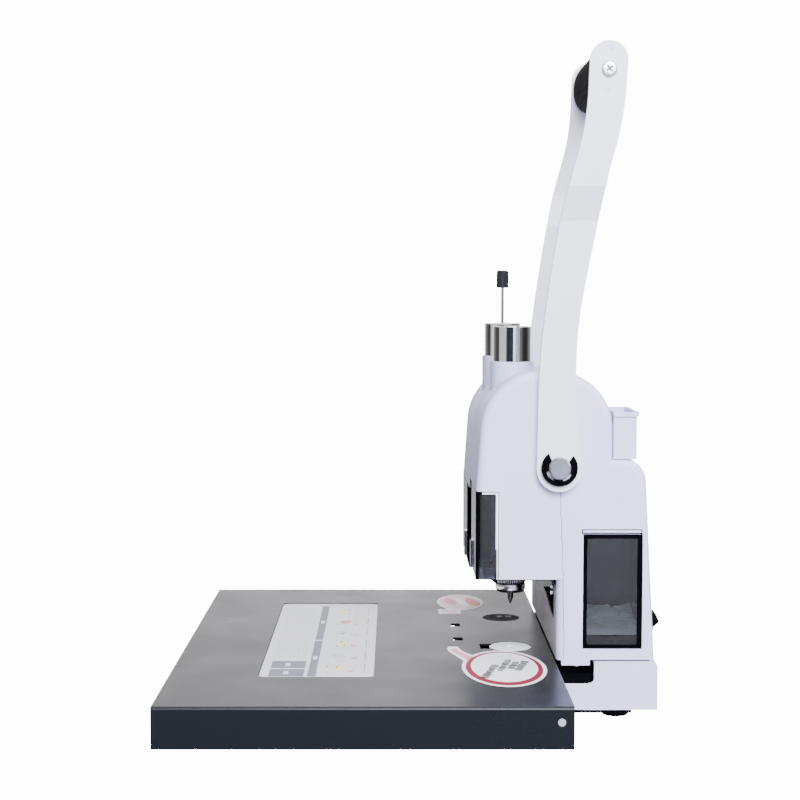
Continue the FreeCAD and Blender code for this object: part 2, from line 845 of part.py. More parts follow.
def window(name, low, high, head_low, window_top, station):
    """A smoked pane that wraps the front of a tower, with a pull on its front."""
    front = "tower_front_y"
    plan = [(low, front), (high, front), (high, "window_back_y"), (low, "window_back_y")]
    outer = prism(
        name + "_outer", "XY", plan, head_low, "%s - 0.3" % window_top,
        [(0, "edge_round"), (1, "edge_round")],
    )
    wall = "window_wall"
    inner_plan = [
        ("%s + %s" % (low, wall), "%s + %s" % (front, wall)),
        ("%s - %s" % (high, wall), "%s + %s" % (front, wall)),
        ("%s - %s" % (high, wall), "window_back_y + 1"),
        ("%s + %s" % (low, wall), "window_back_y + 1"),
    ]
    inner = prism(
        name + "_inner", "XY", inner_plan, "%s - 1" % head_low, "%s + 1" % window_top,
        [(0, "edge_round - %s" % wall), (1, "edge_round - %s" % wall)],
    )
    pane = cut(name + "_pane", outer, inner)
    pull = box(
        name + "_pull", ("%s - 6" % station, "%s + 6" % station),
        ("%s - pull_proud" % front, "%s + 0.5" % front),
        ("%s + 1" % head_low, "%s + 1 + pull_height" % head_low),
    )
    return fuse(name + "_whole", pane, pull)


def build_windows():
    """The two smoked windows."""
    node("window_right", window(
        "pane_right", "gap_right", "body_right", "head_low_right", "window_top_right", "rivet_x",
    ))
    node("window_left", window(
        "pane_left", "body_left", "gap_left", "head_low_left", "window_top_left", "drill_x",
    ))


def rear_outline(inset="0"):
    """The outline of the rear cover: back wall, shoulder and the step up to the domes."""
    return [
        ("dome_rear_y + %s" % inset, "shell_low_z"),
        ("skirt_y - %s" % inset, "shell_low_z"),
        ("shoulder_y - %s" % inset, "shoulder_z - %s" % inset),
        ("dome_rear_y + %s" % inset, "shoulder_z - %s" % inset),
    ]


def build_rear():
    """The rear cover with the switch, the mains inlet and the tube holder."""
    block = prism(
        "rear_block", "YZ", rear_outline(), "seam_left", "seam_right", [(2, "shoulder_round")],
    )
    hollow_points = [
        ("dome_rear_y - 1", "shell_low_z - 1"),
        ("skirt_y - shell_wall", "shell_low_z - 1"),
        ("shoulder_y - shell_wall", "shoulder_z - shell_wall"),
        ("dome_rear_y - 1", "shoulder_z - shell_wall"),
    ]
    hollow = prism(
        "rear_hollow", "YZ", hollow_points, "seam_left - 1", "seam_right + 1",
        [(2, "shoulder_round - shell_wall")],
    )
    switch_hole = box(
        "switch_hole", ("switch_x - switch_wide / 2", "seam_right + 1"),
        ("dome_rear_y", "skirt_y + 5"),
        ("switch_z - switch_tall / 2", "switch_z + switch_tall / 2"),
    )
    inlet_hole = box(
        "inlet_hole", ("inlet_x - inlet_wide / 2", "inlet_x + inlet_wide / 2"),
        ("dome_rear_y", "skirt_y + 5"),
        ("switch_z - inlet_tall / 2", "switch_z + inlet_tall / 2"),
    )
    node("rear_cover", cut("rear_shell", block, hollow, switch_hole, inlet_hole))
    build_switch()
    build_inlet()
    holder_top = "shoulder_z + holder_tall"
    block = fuse(
        "holder_block", holder_slab("holder_body", "0", "shoulder_z", holder_top),
        holder_slab("holder_band", "holder_lip", "%s - holder_rim" % holder_top, holder_top),
    )
    cavity = box(
        "holder_cavity",
        ("holder_right - holder_wide + holder_wall", "holder_right - holder_wall"),
        ("dome_rear_y + 0.3 + holder_wall", "dome_rear_y + 0.3 + holder_deep - holder_wall"),
        ("shoulder_z + holder_wall", "%s + 1" % holder_top),
    )
    node("tube_holder", cut("holder", block, cavity))


def holder_slab(name, grow, low, high):
    """The plan of the tube holder, grown to the sides and the rear, between two levels."""
    left = "holder_right - holder_wide - %s" % grow
    right = "holder_right + %s" % grow
    near = "dome_rear_y + 0.3"
    far = "%s + holder_deep + %s" % (near, grow)
    plan = [(left, near), (right, near), (right, far), (left, far)]
    return prism(name, "XY", plan, low, high, [(2, "4"), (3, "4")])


def build_switch():
    """The rocker switch: a frame in the rear cover and the rocker that tilts in it."""
    half_wide = "switch_wide / 2"
    half_tall = "switch_tall / 2"
    body_y = "skirt_y - switch_deep"
    right = "seam_right - 0.5"
    frame = box(
        "switch_body", ("switch_x - %s + 0.2" % half_wide, right), (body_y, "skirt_y"),
        ("switch_z - %s + 0.2" % half_tall, "switch_z + %s - 0.2" % half_tall),
    )
    well = box(
        "switch_well", ("switch_x - %s + 2" % half_wide, "%s - 1.8" % right),
        ("skirt_y - switch_deep + 2", "skirt_y + 1"),
        ("switch_z - %s + 1.4" % half_tall, "switch_z + %s - 1.4" % half_tall),
    )
    node("switch_frame", cut("switch_frame_body", frame, well))
    profile = [
        ("skirt_y - 5", "switch_z - %s + 2.2" % half_tall),
        ("skirt_y + 1", "switch_z - %s + 2.2" % half_tall),
        ("base_back_y + switch_overhang", "switch_z - 2.4"),
        ("base_back_y + switch_overhang", "switch_z - 0.8"),
        ("skirt_y + 2", "switch_z + %s - 2.2" % half_tall),
        ("skirt_y - 5", "switch_z + %s - 2.2" % half_tall),
    ]
    node("rocker", prism(
        "rocker_key", "YZ", profile, "switch_x - %s + 2.4" % half_wide, "%s - 2.2" % right,
    ))


def build_inlet():
    """The mains inlet: a socket with three pins."""
    half_wide = "inlet_wide / 2"
    half_tall = "inlet_tall / 2"
    body = box(
        "inlet_body", ("inlet_x - %s + 0.3" % half_wide, "inlet_x + %s - 0.3" % half_wide),
        ("skirt_y - 22", "skirt_y"),
        ("switch_z - %s + 0.3" % half_tall, "switch_z + %s - 0.3" % half_tall),
    )
    socket = box(
        "inlet_socket", ("inlet_x - %s + 3" % half_wide, "inlet_x + %s - 3" % half_wide),
        ("skirt_y - 18", "skirt_y + 1"),
        ("switch_z - %s + 3" % half_tall, "switch_z + %s - 3" % half_tall),
    )
    pins = [
        box(
            "inlet_pin_%d" % number, ("inlet_x + %g - 1" % across, "inlet_x + %g + 1" % across),
            ("skirt_y - 18.5", "skirt_y - 6"), ("switch_z - 2", "switch_z + 2"),
        )
        for number, across in enumerate((-7, 0, 7))
    ]
    node("mains_inlet", fuse("inlet", cut("inlet_shell", body, socket), *pins))


# ---------------------------------------------------------------- frame
def plate_outline(inset, bin_cut, dome_top):
    """A frame plate's outline: foot on the floor, column, neck and head."""
    front = "window_back_y + %s" % inset
    rear = "column_y + frame_back"
    points = [
        ("column_y + 3", "floor_top_z"),
        (rear, "floor_top_z"),
        (rear, "shoulder_z - frame_inset - 12"),
        ("dome_rear_y - shell_wall - 2", "shoulder_z - frame_inset"),
        ("dome_rear_y - %s - 6" % inset, "%s - 32" % dome_top),
        ("dome_rear_y - 28", "%s - %s - 5" % (dome_top, inset)),
        ("tower_front_y + dome_front_round", "%s - %s - 5" % (dome_top, inset)),
        ("%s + 2" % front, "%s - 28" % dome_top),
        (front, "head_low_right + %s + 4" % inset),
        ("column_y + 3", "head_low_right + %s + 4" % inset),
    ]
    if bin_cut:
        neck = "column_y + frame_neck"
        above = "bin_low_z + bin_tall + 4"
        points[1:2] = [(neck, "floor_top_z"), (neck, above), (rear, above)]
    return points


def frame_plate(name, low, bin_cut, dome_top):
    """A frame plate with the bores for the lever shaft's bush."""
    blank = prism(
        name + "_blank", "YZ", plate_outline("frame_inset", bin_cut, dome_top), low,
        "%s + frame_thick" % low,
    )
    bore = rod(
        name + "_bore", "X", ("%s - 1" % low, "pivot_y", "pivot_z"), "shaft_radius + bush_wall",
        "frame_thick + 2",
    )
    return cut(name + "_cut", blank, bore)


PLATES = (
    ("frame_plate_right", "plate_right - frame_thick", True, "dome_top_z"),
    ("frame_plate_mid_right", "plate_mid_right", False, "dome_top_z"),
    ("frame_plate_mid_left", "plate_mid_left - frame_thick", False, "dome_left_z"),
    ("frame_plate_left", "plate_left", False, "dome_left_z"),
)


def build_frame():
    """Four plates stand on the floor plate and carry the shaft, the ram guides and the covers."""
    bushes = []
    for name, low, bin_cut, dome_top in PLATES:
        node(name, frame_plate(name, low, bin_cut, dome_top))
        bushes.append(turned(
            "bush_" + name, "X",
            [(low, "shaft_radius + fit_gap"), ("%s + frame_thick" % low, "shaft_radius + fit_gap"),
             ("%s + frame_thick" % low, "shaft_radius + bush_wall"),
             (low, "shaft_radius + bush_wall")],
            ("0", "pivot_y", "pivot_z"),
        ))
    node("shaft_bushes", group("bushes", *bushes))
    node("column_front_plate", box(
        "front_plate", ("seam_left + 0.2", "seam_right - 0.2"), ("column_y", "column_y + 2"),
        ("shell_low_z", "head_low_left - 0.5"),
    ))
    for name, station, low, high in (
        ("ram_guide_rivet", "rivet_x", "plate_mid_right + frame_thick", "plate_right - frame_thick"),
        ("ram_guide_drill", "drill_x", "plate_left + frame_thick", "drill_x + guide_side"),
    ):
        block = box(
            name + "_block", (low, high),
            ("station_y - guide_front", "station_y + guide_back"), ("guide_low", "guide_high"),
        )
        bore = rod(
            name + "_bore", "Z", (station, "station_y", "guide_low - 1"), "ram_radius + fit_gap",
            "guide_high - guide_low + 2",
        )
        slot = box(
            name + "_slot", ("%s - gear_width / 2 - 1.5" % station, "%s + gear_width / 2 + 1.5" % station),
            ("station_y + 3", "station_y + guide_back + 1"), ("guide_low - 1", "guide_high + 1"),
        )
        node(name, cut(name + "_cut", block, bore, slot))
    node("stop_bracket", prism(
        "bracket_block", "YZ",
        [("column_y - bracket_deep", "table_top_z + bracket_top"),
         ("column_y", "table_top_z + bracket_top - bracket_tall"),
         ("column_y", "table_top_z + bracket_top")],
        "rivet_x + 8", "rivet_x + 8 + bracket_wide",
    ))
    face = "plate_mid_left - frame_thick"
    board = box(
        "board", ("%s - board_stand - board_thick" % face, "%s - board_stand" % face),
        ("column_y + 8", "column_y + 8 + board_deep"), ("floor_top_z + 24", "floor_top_z + 24 + board_tall"),
    )
    posts = [
        rod(
            "board_post_%d" % number, "X",
            ("%s - board_stand" % face, "column_y + 8 + %s" % along, "floor_top_z + 24 + %s" % up),
            "board_post", "board_stand",
        )
        for number, (along, up) in enumerate((
            ("5", "5"), ("board_deep - 5", "5"), ("5", "board_tall - 5"),
            ("board_deep - 5", "board_tall - 5"),
        ))
    ]
    node("control_board", fuse("board_on_posts", board, *posts))


# ---------------------------------------------------------------- lever
ARM_STATIONS = (
    # height above the pivot, centre line behind the pivot, half width
    (38.8, -1.6, 15.2),
    (74.3, -1.7, 14.2),
    (112.8, 0.9, 13.6),
    (153.8, 7.1, 14.1),
    (195.4, 14.6, 14.6),
    (227.0, 21.3, 14.0),
    (260.9, 30.0, 13.9),
    (290.8, 33.8, 14.3),
)


def arm_profile():
    """The flat outline of a lever arm: two gentle curves between an eye and a rounded tip."""
    pivot = Vector(0, size("pivot_y"), size("pivot_z"))
    eye = size("arm_end_radius")
    tip = size("arm_tip_radius")
    stretch = size("arm_length") / 314.0
    lean = size("arm_tip_back") / 34.9
    widen = tip / 14.5
    eye_centre = pivot - Vector(0, 0, size("arm_eye_drop"))
    tip_centre = pivot + Vector(0, size("arm_tip_back"), size("arm_length"))

    def edge(side):
        points = [eye_centre + Vector(0, side * eye, 0)]
        for height, back, half in ARM_STATIONS:
            points.append(pivot + Vector(0, back * lean + side * half * widen, height * stretch))
        points.append(tip_centre + Vector(0, side * tip, 0))
        curve = Part.BSplineCurve()
        curve.interpolate(points, InitialTangent=Vector(0, 0, 1), FinalTangent=Vector(0, 0.06, 1))
        return points[0], points[-1], curve.toShape()

    front_low, front_high, front = edge(-1)
    rear_low, rear_high, rear = edge(1)
    over = Part.Arc(front_high, tip_centre + Vector(0, 0, tip), rear_high).toShape()
    under = Part.Arc(rear_low, eye_centre - Vector(0, 0, eye), front_low).toShape()
    return Part.Face(Part.Wire(Part.__sortEdges__([front, over, rear, under])))


def lever_arm(name, inner, outward):
    """One arm: a flat bar with a joggle that widens the lever under the grip."""
    thick = size("arm_thick")
    low_in = size(inner)
    joggle = size("joggle_out") * outward
    start = size("pivot_z") + size("joggle_start")
    end = start + size("joggle_rise")
    bottom = size("pivot_z") - 2 * size("arm_end_radius")
    top = size("pivot_z") + 2 * size("arm_length")
    shift = thick * outward
    near, far = size("pivot_y") - 200, size("pivot_y") + 400
    corners = [
        (low_in, bottom), (low_in, start), (low_in + joggle, end), (low_in + joggle, top),
        (low_in + joggle + shift, top), (low_in + joggle + shift, end),
        (low_in + shift, start), (low_in + shift, bottom),
    ]
    points = [Vector(x, near, z) for x, z in corners]
    band = Part.Face(Part.makePolygon(points + points[:1])).extrude(Vector(0, far - near, 0))
    blade = arm_profile()
    reach = 80.0
    blade.translate(Vector(low_in - reach, 0, 0))
    blade = blade.extrude(Vector(2 * reach, 0, 0))
    return made(name, band.common(blade))


def build_lever():
    """The lever: two arms, the grip between them and the shaft that they turn."""
    for side, inner, outward in (("right", "arm_right_in", 1), ("left", "arm_left_in", -1)):
        blank = lever_arm("arm_blank_" + side, inner, outward)
        if outward > 0:
            eye_at, screw_at = "%s - 1" % inner, "grip_right - 1"
        else:
            eye_at, screw_at = "%s - arm_thick - 1" % inner, "grip_left - arm_thick - 1"
        eye = rod("eye_" + side, "X", (eye_at, "pivot_y", "pivot_z"), "shaft_radius", "arm_thick + 2")
        hole = rod("screw_hole_" + side, "X", (screw_at, "grip_y", "grip_z"), "3.1", "arm_thick + 2")
        pins = [
            rod(
                "pin_hole_%s_%d" % (side, number), "X",
                (screw_at, "grip_y + %s * grip_pin_reach * 0.09" % sign,
                 "grip_z + %s * grip_pin_reach" % sign),
                "grip_pin_radius", "arm_thick + 2",
            )
            for number, sign in enumerate((1, -1))
        ]
        node("lever_arm_" + side, cut("arm_" + side, blank, eye, hole, *pins))
    build_grip()
    node("lever_shaft", turned(
        "shaft", "X",
        [("shaft_start", "0"), ("shaft_start", "shaft_radius"),
         ("shaft_end - shaft_chamfer", "shaft_radius"),
         ("shaft_end", "shaft_radius - shaft_chamfer"), ("shaft_end", "0")],
        ("0", "pivot_y", "pivot_z"),
    ))
    clips = []
    for number, start in enumerate((
        "arm_right_in + arm_thick + clip_stand", "plate_left + frame_thick + 1",
    )):
        clip = made("clip_%d" % number, retaining_ring())
        place(clip, (start, "pivot_y", "pivot_z"))
        clips.append(clip)
    node("shaft_clips", group("clips", *clips))
    for name, station in (("pinion_rivet", "rivet_x"), ("pinion_drill", "drill_x")):
        node(name, pinion(name, station))


# angles from the middle of the mouth: outer ear, inner ear, end of the side prong, tail prong
RING_ANGLES = (42.0, 51.0, 111.0, 159.0)


def retaining_ring():
    """An open retaining ring that holds the shaft by two side prongs and a tail prong."""
    outer = size("clip_radius")
    relief = size("clip_relief")
    grip = size("shaft_radius")
    ear, lobe, side, tail = RING_ANGLES
    middle = 90.0 - size("clip_turn")

    def at(radius, angle):
        turn = math.radians(middle + angle)
        return Vector(0, radius * math.cos(turn), radius * math.sin(turn))

    def arc(radius, start, end):
        return Part.Arc(at(radius, start), at(radius, (start + end) / 2), at(radius, end)).toShape()

    def step(first, second):
        return Part.LineSegment(at(*first), at(*second)).toShape()

    edges = [
        arc(outer, ear, 360 - ear), step((outer, 360 - ear), (grip, 360 - lobe)),
        arc(grip, 360 - lobe, 360 - side), step((grip, 360 - side), (relief, 360 - side)),
        arc(relief, 360 - side, 360 - tail), step((relief, 360 - tail), (grip, 360 - tail)),
        arc(grip, 360 - tail, tail), step((grip, tail), (relief, tail)),
        arc(relief, tail, side), step((relief, side), (grip, side)),
        arc(grip, side, lobe), step((grip, lobe), (outer, ear)),
    ]
    return Part.Face(Part.Wire(edges)).extrude(Vector(size("clip_thick"), 0, 0))


def build_grip():
    """The oval grip, its two screws and the four pins that stop it from turning."""
    tilt = Rotation(Vector(1, 0, 0), -size("grip_tilt"))
    ellipse = document.addObject("Part::Ellipse", "grip_oval")
    bind(ellipse, "MajorRadius", "grip_half_tall")
    bind(ellipse, "MinorRadius", "grip_half_wide")
    ellipse.Placement = Placement(
        Vector(), tilt.multiply(Rotation(Vector(0, 0, 1), Vector(0, 1, 0), Vector(1, 0, 0), "ZXY")),
    )
    place(ellipse, ("grip_left", "grip_y", "grip_z"))
    bar = document.addObject("Part::Extrusion", "grip_bar")
    bar.Base = ellipse
    bar.DirMode = "Custom"
    bar.Dir = Vector(1, 0, 0)
    bar.Solid = True
    bind(bar, "LengthFwd", "grip_right - grip_left")
    screws = []
    tools = []
    pins = []
    for side, face, sign in (("right", "grip_right", 1), ("left", "grip_left", -1)):
        out = "%s + %d * arm_thick" % (face, sign)
        stem_low = "%s - 18" % face if sign > 0 else out
        head_low = out if sign > 0 else "%s - 2.6" % out
        stem = rod("grip_stem_" + side, "X", (stem_low, "grip_y", "grip_z"), "3", "18 + arm_thick")
        head = rod("grip_head_" + side, "X", (head_low, "grip_y", "grip_z"), "grip_screw_radius", "2.6")
        screws.append(fuse("grip_screw_" + side, stem, head))
        tools.append(rod(
            "grip_hole_" + side, "X",
            ("%s - 18.5" % face if sign > 0 else "%s - 0.5" % face, "grip_y", "grip_z"), "3", "19",
        ))
        for number, way in enumerate((1, -1)):
            at = (
                "%s - 6" % face if sign > 0 else "%s - arm_thick" % face,
                "grip_y + %d * grip_pin_reach * 0.09" % way, "grip_z + %d * grip_pin_reach" % way,
            )
            pins.append(rod(
                "grip_pin_%s_%d" % (side, number), "X", at, "grip_pin_radius", "6 + arm_thick",
            ))
            tools.append(rod(
                "grip_pin_hole_%s_%d" % (side, number), "X",
                ("%s - 6" % face if sign > 0 else "%s - 0.5" % face, at[1], at[2]),
                "grip_pin_radius", "6.5",
            ))
    node("lever_grip", cut("grip", bar, *tools))
    node("grip_screws", group("grip_screw_pair", *screws))
    node("grip_pins", group("grip_pin_set", *pins))


def tooth_profile(teeth, module, backlash):
    """The outline of an involute gear: (angle, radius) pairs for one tooth, centred on angle 0."""
    pitch = module * teeth / 2
    base = pitch * math.cos(math.radians(20))
    outer = pitch + module
    root = pitch - 1.25 * module

    def involute(radius):
        angle = math.acos(min(1.0, base / radius))
        return math.tan(angle) - angle

    half = (math.pi * module / 2 - backlash) / (2 * pitch)
    start = max(base, root)
    steps = 4
    flank = []
    for step in range(steps):
        radius = start + (outer - start) * step / (steps - 1)
        flank.append((half + involute(pitch) - involute(radius), radius))
    root_point = (flank[0][0], root)
    rise = [(-angle, radius) for angle, radius in [root_point] + flank]
    return rise + [(angle, radius) for angle, radius in reversed([root_point] + flank)]


def pinion(name, station):
    """A pinion on the lever shaft, one tooth pointing straight at its rack."""
    teeth = int(round(size("gear_teeth")))
    points = []
    for tooth in range(teeth):
        turn = math.pi + 2 * math.pi * tooth / teeth
        for angle, radius in tooth_profile(teeth, size("gear_module"), size("gear_backlash")):
            points.append(Vector(0, radius * math.cos(turn + angle), radius * math.sin(turn + angle)))
    disc = Part.Face(Part.makePolygon(points + points[:1])).extrude(Vector(size("gear_width"), 0, 0))
    bore = Part.makeCylinder(
        size("shaft_radius"), size("gear_width") + 2, Vector(-1, 0, 0), Vector(1, 0, 0),
    )
    wheel = made(name + "_wheel", disc.cut(bore))
    place(wheel, ("%s - gear_width / 2" % station, "pivot_y", "pivot_z"))
    return wheel


def rack_cutter(name, station):
    """The stock that is cut from the back of a ram to leave its rack."""
    module = size("gear_module")
    pitch = math.pi * module
    offset = size("station_y") + size("rack_offset")
    flat = offset + module
    root = offset - 1.25 * module
    slope = math.tan(math.radians(20))
    half_pitch_line = (pitch / 2 + size("gear_backlash")) / 2
    half_root = half_pitch_line - 1.25 * module * slope
    half_flat = half_pitch_line + module * slope
    centre = size("pivot_z")
    count = int(math.ceil(size("stroke") / pitch)) + 2
    low = centre - 3.4 * pitch
    high = centre + (count + 1) * pitch
    reach = size("ram_radius") + 1
    left = size(station) - reach
    profile = [Vector(left, flat + reach, low), Vector(left, flat, low)]
    for tooth in range(-2, count + 1):
        middle = centre + tooth * pitch
        profile += [
            Vector(left, flat, middle - half_flat), Vector(left, root, middle - half_root),
            Vector(left, root, middle + half_root), Vector(left, flat, middle + half_flat),
        ]
    profile += [Vector(left, flat, high), Vector(left, flat + reach, high)]
    blank = Part.Face(Part.makePolygon(profile + profile[:1]))
    return made(name, blank.extrude(Vector(2 * reach, 0, 0)))


# ---------------------------------------------------------------- rams
def ram_cap(name, station, bore):
    """The polished cap on a ram, that slides in the neck of its tower."""
    return turned(
        name, "Z",
        [("ram_radius", "cap_low_z"), ("cap_radius", "cap_low_z"),
         ("cap_radius", "cap_top_z - 0.6"), ("cap_radius - 0.6", "cap_top_z"), (bore, "cap_top_z"),
         (bore, "ram_top"), ("ram_radius", "ram_top")],
        (station, "station_y", "0"),
    )


def build_rivet_ram():
    """The rivet ram with its rack, cap, heated head and pin, and the guard beside it."""
    bar = rod("rivet_bar", "Z", ("rivet_x", "station_y", "ram_foot"), "ram_radius", "ram_top - ram_foot")
    node("ram_rivet", cut("rivet_ram", bar, rack_cutter("rivet_rack", "rivet_x")))
    cap = turned(
        "rivet_cap", "Z",
        [("ram_radius", "cap_low_z"), ("cap_radius", "cap_low_z"),
         ("cap_radius", "cap_top_z - 0.6"), ("cap_radius - 0.6", "cap_top_z"), ("0", "cap_top_z"),
         ("0", "ram_top"), ("ram_radius", "ram_top")],
        ("rivet_x", "station_y", "0"),
    )
    node("ram_cap_rivet", cap)
    node("rivet_head", turned(
        "head", "Z",
        [("rivet_pin_radius", "rivet_head_z"), ("rivet_head_radius - 0.8", "rivet_head_z"),
         ("rivet_head_radius", "rivet_head_z + 0.8"), ("rivet_head_radius", "ram_foot"),
         ("0", "ram_foot"), ("0", "rivet_head_z + 8"), ("rivet_pin_radius", "rivet_head_z + 8")],
        ("rivet_x", "station_y", "0"),
    ))
    node("rivet_pin", turned(
        "pin", "Z",
        [("0", "rivet_head_z - rivet_pin_long"), ("0.5", "rivet_head_z - rivet_pin_long"),
         ("rivet_pin_radius", "rivet_head_z - rivet_pin_long + 6"),
         ("rivet_pin_radius", "rivet_head_z + 8"), ("0", "rivet_head_z + 8")],
        ("rivet_x", "station_y", "0"),
    ))
    guard_front = "window_back_y - 9"
    guard_back = "station_y - rivet_head_radius - work_gap"
    guard_low = "head_low_right - guard_drop"
    guard = prism(
        "guard", "YZ",
        [(guard_front, "head_low_right - guard_thick"), ("%s - 1" % guard_back, guard_low),
         (guard_back, guard_low), (guard_back, "head_low_right - guard_thick"),
         ("station_y", "head_low_right - guard_thick"), ("station_y", "head_low_right"),
         (guard_front, "head_low_right")],
        "rivet_x - guard_wide / 2", "rivet_x + guard_wide / 2",
    )
    passage = box(
        "guard_passage",
        ("rivet_x - rivet_head_radius - work_gap", "rivet_x + rivet_head_radius + work_gap"),
        (guard_back, "station_y + 1"), ("%s - 1" % guard_low, "head_low_right + 1"),
    )
    node("die_guard", cut("guard_cut", guard, passage))


def build_drill_unit():
    """The drill ram: quill, cap, carriage, motor, belt, spindle, chuck, bit and clearing rod."""
    at = ("drill_x", "station_y", "0")
    sleeve = turned(
        "quill_sleeve", "Z",
        [("quill_bore", "quill_foot"), ("ram_radius", "quill_foot"), ("ram_radius", "ram_top"),
         ("quill_bore", "ram_top")], at,
    )
    node("quill_drill", cut("quill", sleeve, rack_cutter("drill_rack", "drill_x")))
    node("ram_cap_drill", ram_cap("drill_cap", "drill_x", "spindle_bore + 0.4"))
    plate = box(
        "carriage_plate", ("drill_x - 15", "motor_x + motor_radius - 1"),
        ("station_y - 15", "station_y + 16"), ("quill_foot", "quill_foot + carriage_thick"),
    )
    quill_hole = rod(
        "carriage_bore", "Z", ("drill_x", "station_y", "quill_foot - 1"), "ram_radius",
        "carriage_thick + 2",
    )
    motor_hole = rod(
        "carriage_motor_bore", "Z", ("motor_x", "motor_y", "quill_foot - 1"), "4",
        "carriage_thick + 2",
    )
    node("drill_carriage", cut("carriage", plate, quill_hole, motor_hole))
    node("drill_motor", rod(
        "motor", "Z", ("motor_x", "motor_y", "quill_foot + carriage_thick"), "motor_radius",
        "motor_tall",
    ))
    for name, centre, bore in (
        ("motor_pulley", ("motor_x", "motor_y", "0"), "0"),
        ("spindle_pulley", at, "spindle_radius"),
    ):
        rim = "pulley_radius + belt_thick + 0.6"
        belt_low = "pulley_low_z + (pulley_tall - belt_wide) / 2 - 0.3"
        belt_high = "pulley_low_z + (pulley_tall + belt_wide) / 2 + 0.3"
        profile = [
            (bore, "pulley_low_z"), (rim, "pulley_low_z"), (rim, belt_low),
            ("pulley_radius", belt_low), ("pulley_radius", belt_high), (rim, belt_high),
            (rim, "pulley_low_z + pulley_tall"),
        ]
        if bore == "0":
            profile += [("3.9", "pulley_low_z + pulley_tall"), ("3.9", "quill_foot + carriage_thick - 0.2"),
                        ("0", "quill_foot + carriage_thick - 0.2")]
        else:
            profile += [(bore, "pulley_low_z + pulley_tall")]
        node(name, turned(name + "_wheel", "Z", profile, centre))
    node("drive_belt", belt())
    spindle_top = "ram_top - 2"
    node("spindle", turned(
        "spindle_bar", "Z",
        [("spindle_bore", "pulley_low_z - 10"), ("spindle_radius", "pulley_low_z - 10"),
         ("spindle_radius", spindle_top), ("spindle_bore", spindle_top)], at,
    ))
    chuck_top = "pulley_low_z - 0.5"
    chuck_low = "%s - chuck_tall" % chuck_top
    node("chuck", turned(
        "chuck_body", "Z",
        [("bit_radius", chuck_low), ("chuck_radius - 3", chuck_low), ("chuck_radius", "%s + 5" % chuck_low),
         ("chuck_radius", chuck_top), ("spindle_radius", chuck_top),
         ("spindle_radius", "pulley_low_z - 10"), ("bit_radius", "pulley_low_z - 10")], at,
    ))
    node("drill_bit", turned(
        "bit", "Z",
        [("spindle_bore", "bit_tip_z"), ("spindle_bore + 0.3", "bit_tip_z"), ("bit_radius", "bit_tip_z + 2"),
         ("bit_radius", "pulley_low_z - 10"), ("spindle_bore", "pulley_low_z - 10")], at,
    ))
    node("clearing_rod", rod(
        "clearing_bar", "Z", ("drill_x", "station_y", "bit_tip_z + knob_clear + 2"), "rod_radius",
        "knob_low_z + 8 - bit_tip_z - knob_clear - 2",
    ))
    node("clearing_knob", turned(
        "knob", "Z",
        [("rod_radius", "knob_low_z"), ("knob_radius - 0.7", "knob_low_z"),
         ("knob_radius", "knob_low_z + 0.7"), ("knob_radius", "knob_low_z + knob_tall - 1"),
         ("knob_radius - 1", "knob_low_z + knob_tall"), ("0", "knob_low_z + knob_tall"),
         ("0", "knob_low_z + 8"), ("rod_radius", "knob_low_z + 8")], at,
    ))


def belt():
    """The flat belt round both pulleys."""
    first = Vector(size("drill_x"), size("station_y"), 0)
    second = Vector(size("motor_x"), size("motor_y"), 0)
    along = (second - first).normalize()
    side = Vector(-along.y, along.x, 0)

    def loop(radius):
        ends = []
        for centre, way in ((first, -1), (second, 1)):
            ends.append((centre + side * radius, centre + along * (radius * way), centre - side * radius))
        (a1, a2, a3), (b1, b2, b3) = ends
        edges = [
            Part.Arc(a1, a2, a3).toShape(), Part.LineSegment(a3, b3).toShape(),
            Part.Arc(b3, b2, b1).toShape(), Part.LineSegment(b1, a1).toShape(),
        ]
        return Part.Face(Part.Wire(Part.__sortEdges__(edges)))

    inner = size("pulley_radius") + 0.05
    band = loop(inner + size("belt_thick")).cut(loop(inner))
    band.translate(Vector(0, 0, size("pulley_low_z") + (size("pulley_tall") - size("belt_wide")) / 2))
    return made("belt_band", band.Faces[0].extrude(Vector(0, 0, size("belt_wide"))))


# ---------------------------------------------------------------- waste bin
def build_bin():
    """The waste bin: a clear box that slides out of a pocket in the right side of the column."""
    y_span = ("bin_front_y + bin_gap", "bin_front_y + bin_long - bin_gap")
    z_span = ("bin_low_z + bin_gap", "bin_low_z + bin_tall - bin_gap")
    block = box("bin_block", ("body_right - bin_deep", "body_right - 0.5"), y_span, z_span)
    cavity = box(
        "bin_cavity", ("body_right - bin_deep + bin_wall", "body_right - 0.5 - bin_wall"),
        ("%s + bin_wall" % y_span[0], "%s - bin_wall" % y_span[1]),
        ("%s + bin_wall" % z_span[0], "bin_low_z + bin_tall"),
    )
    node("waste_bin", cut("bin", block, cavity))
    outer = box(
        "pocket_block", ("body_right - bin_deep - 2.5", "seam_right"),
        ("bin_front_y - pocket_wall", "bin_front_y + bin_long + pocket_wall"),
        ("bin_low_z - pocket_wall", "bin_low_z + bin_tall + pocket_wall"),
    )
    inner = box(
        "pocket_cavity", ("body_right - bin_deep - 0.5", "body_right"),
        ("bin_front_y", "bin_front_y + bin_long"), ("bin_low_z", "bin_low_z + bin_tall"),
    )
    node("bin_pocket", cut("pocket", outer, inner))


def build_fasteners():
    """The four equal screws of the table's skirts and the side covers' flanges."""
    node("cover_screws", group(
        "cover_screw_set", skirt_screw("skirt_screw_right", 1), skirt_screw("skirt_screw_left", -1),
        cover_screw("cover_screw_right", "seam_right + cover_depth / 2"),
        cover_screw("cover_screw_left", "body_left + cover_depth / 2"),
    ))


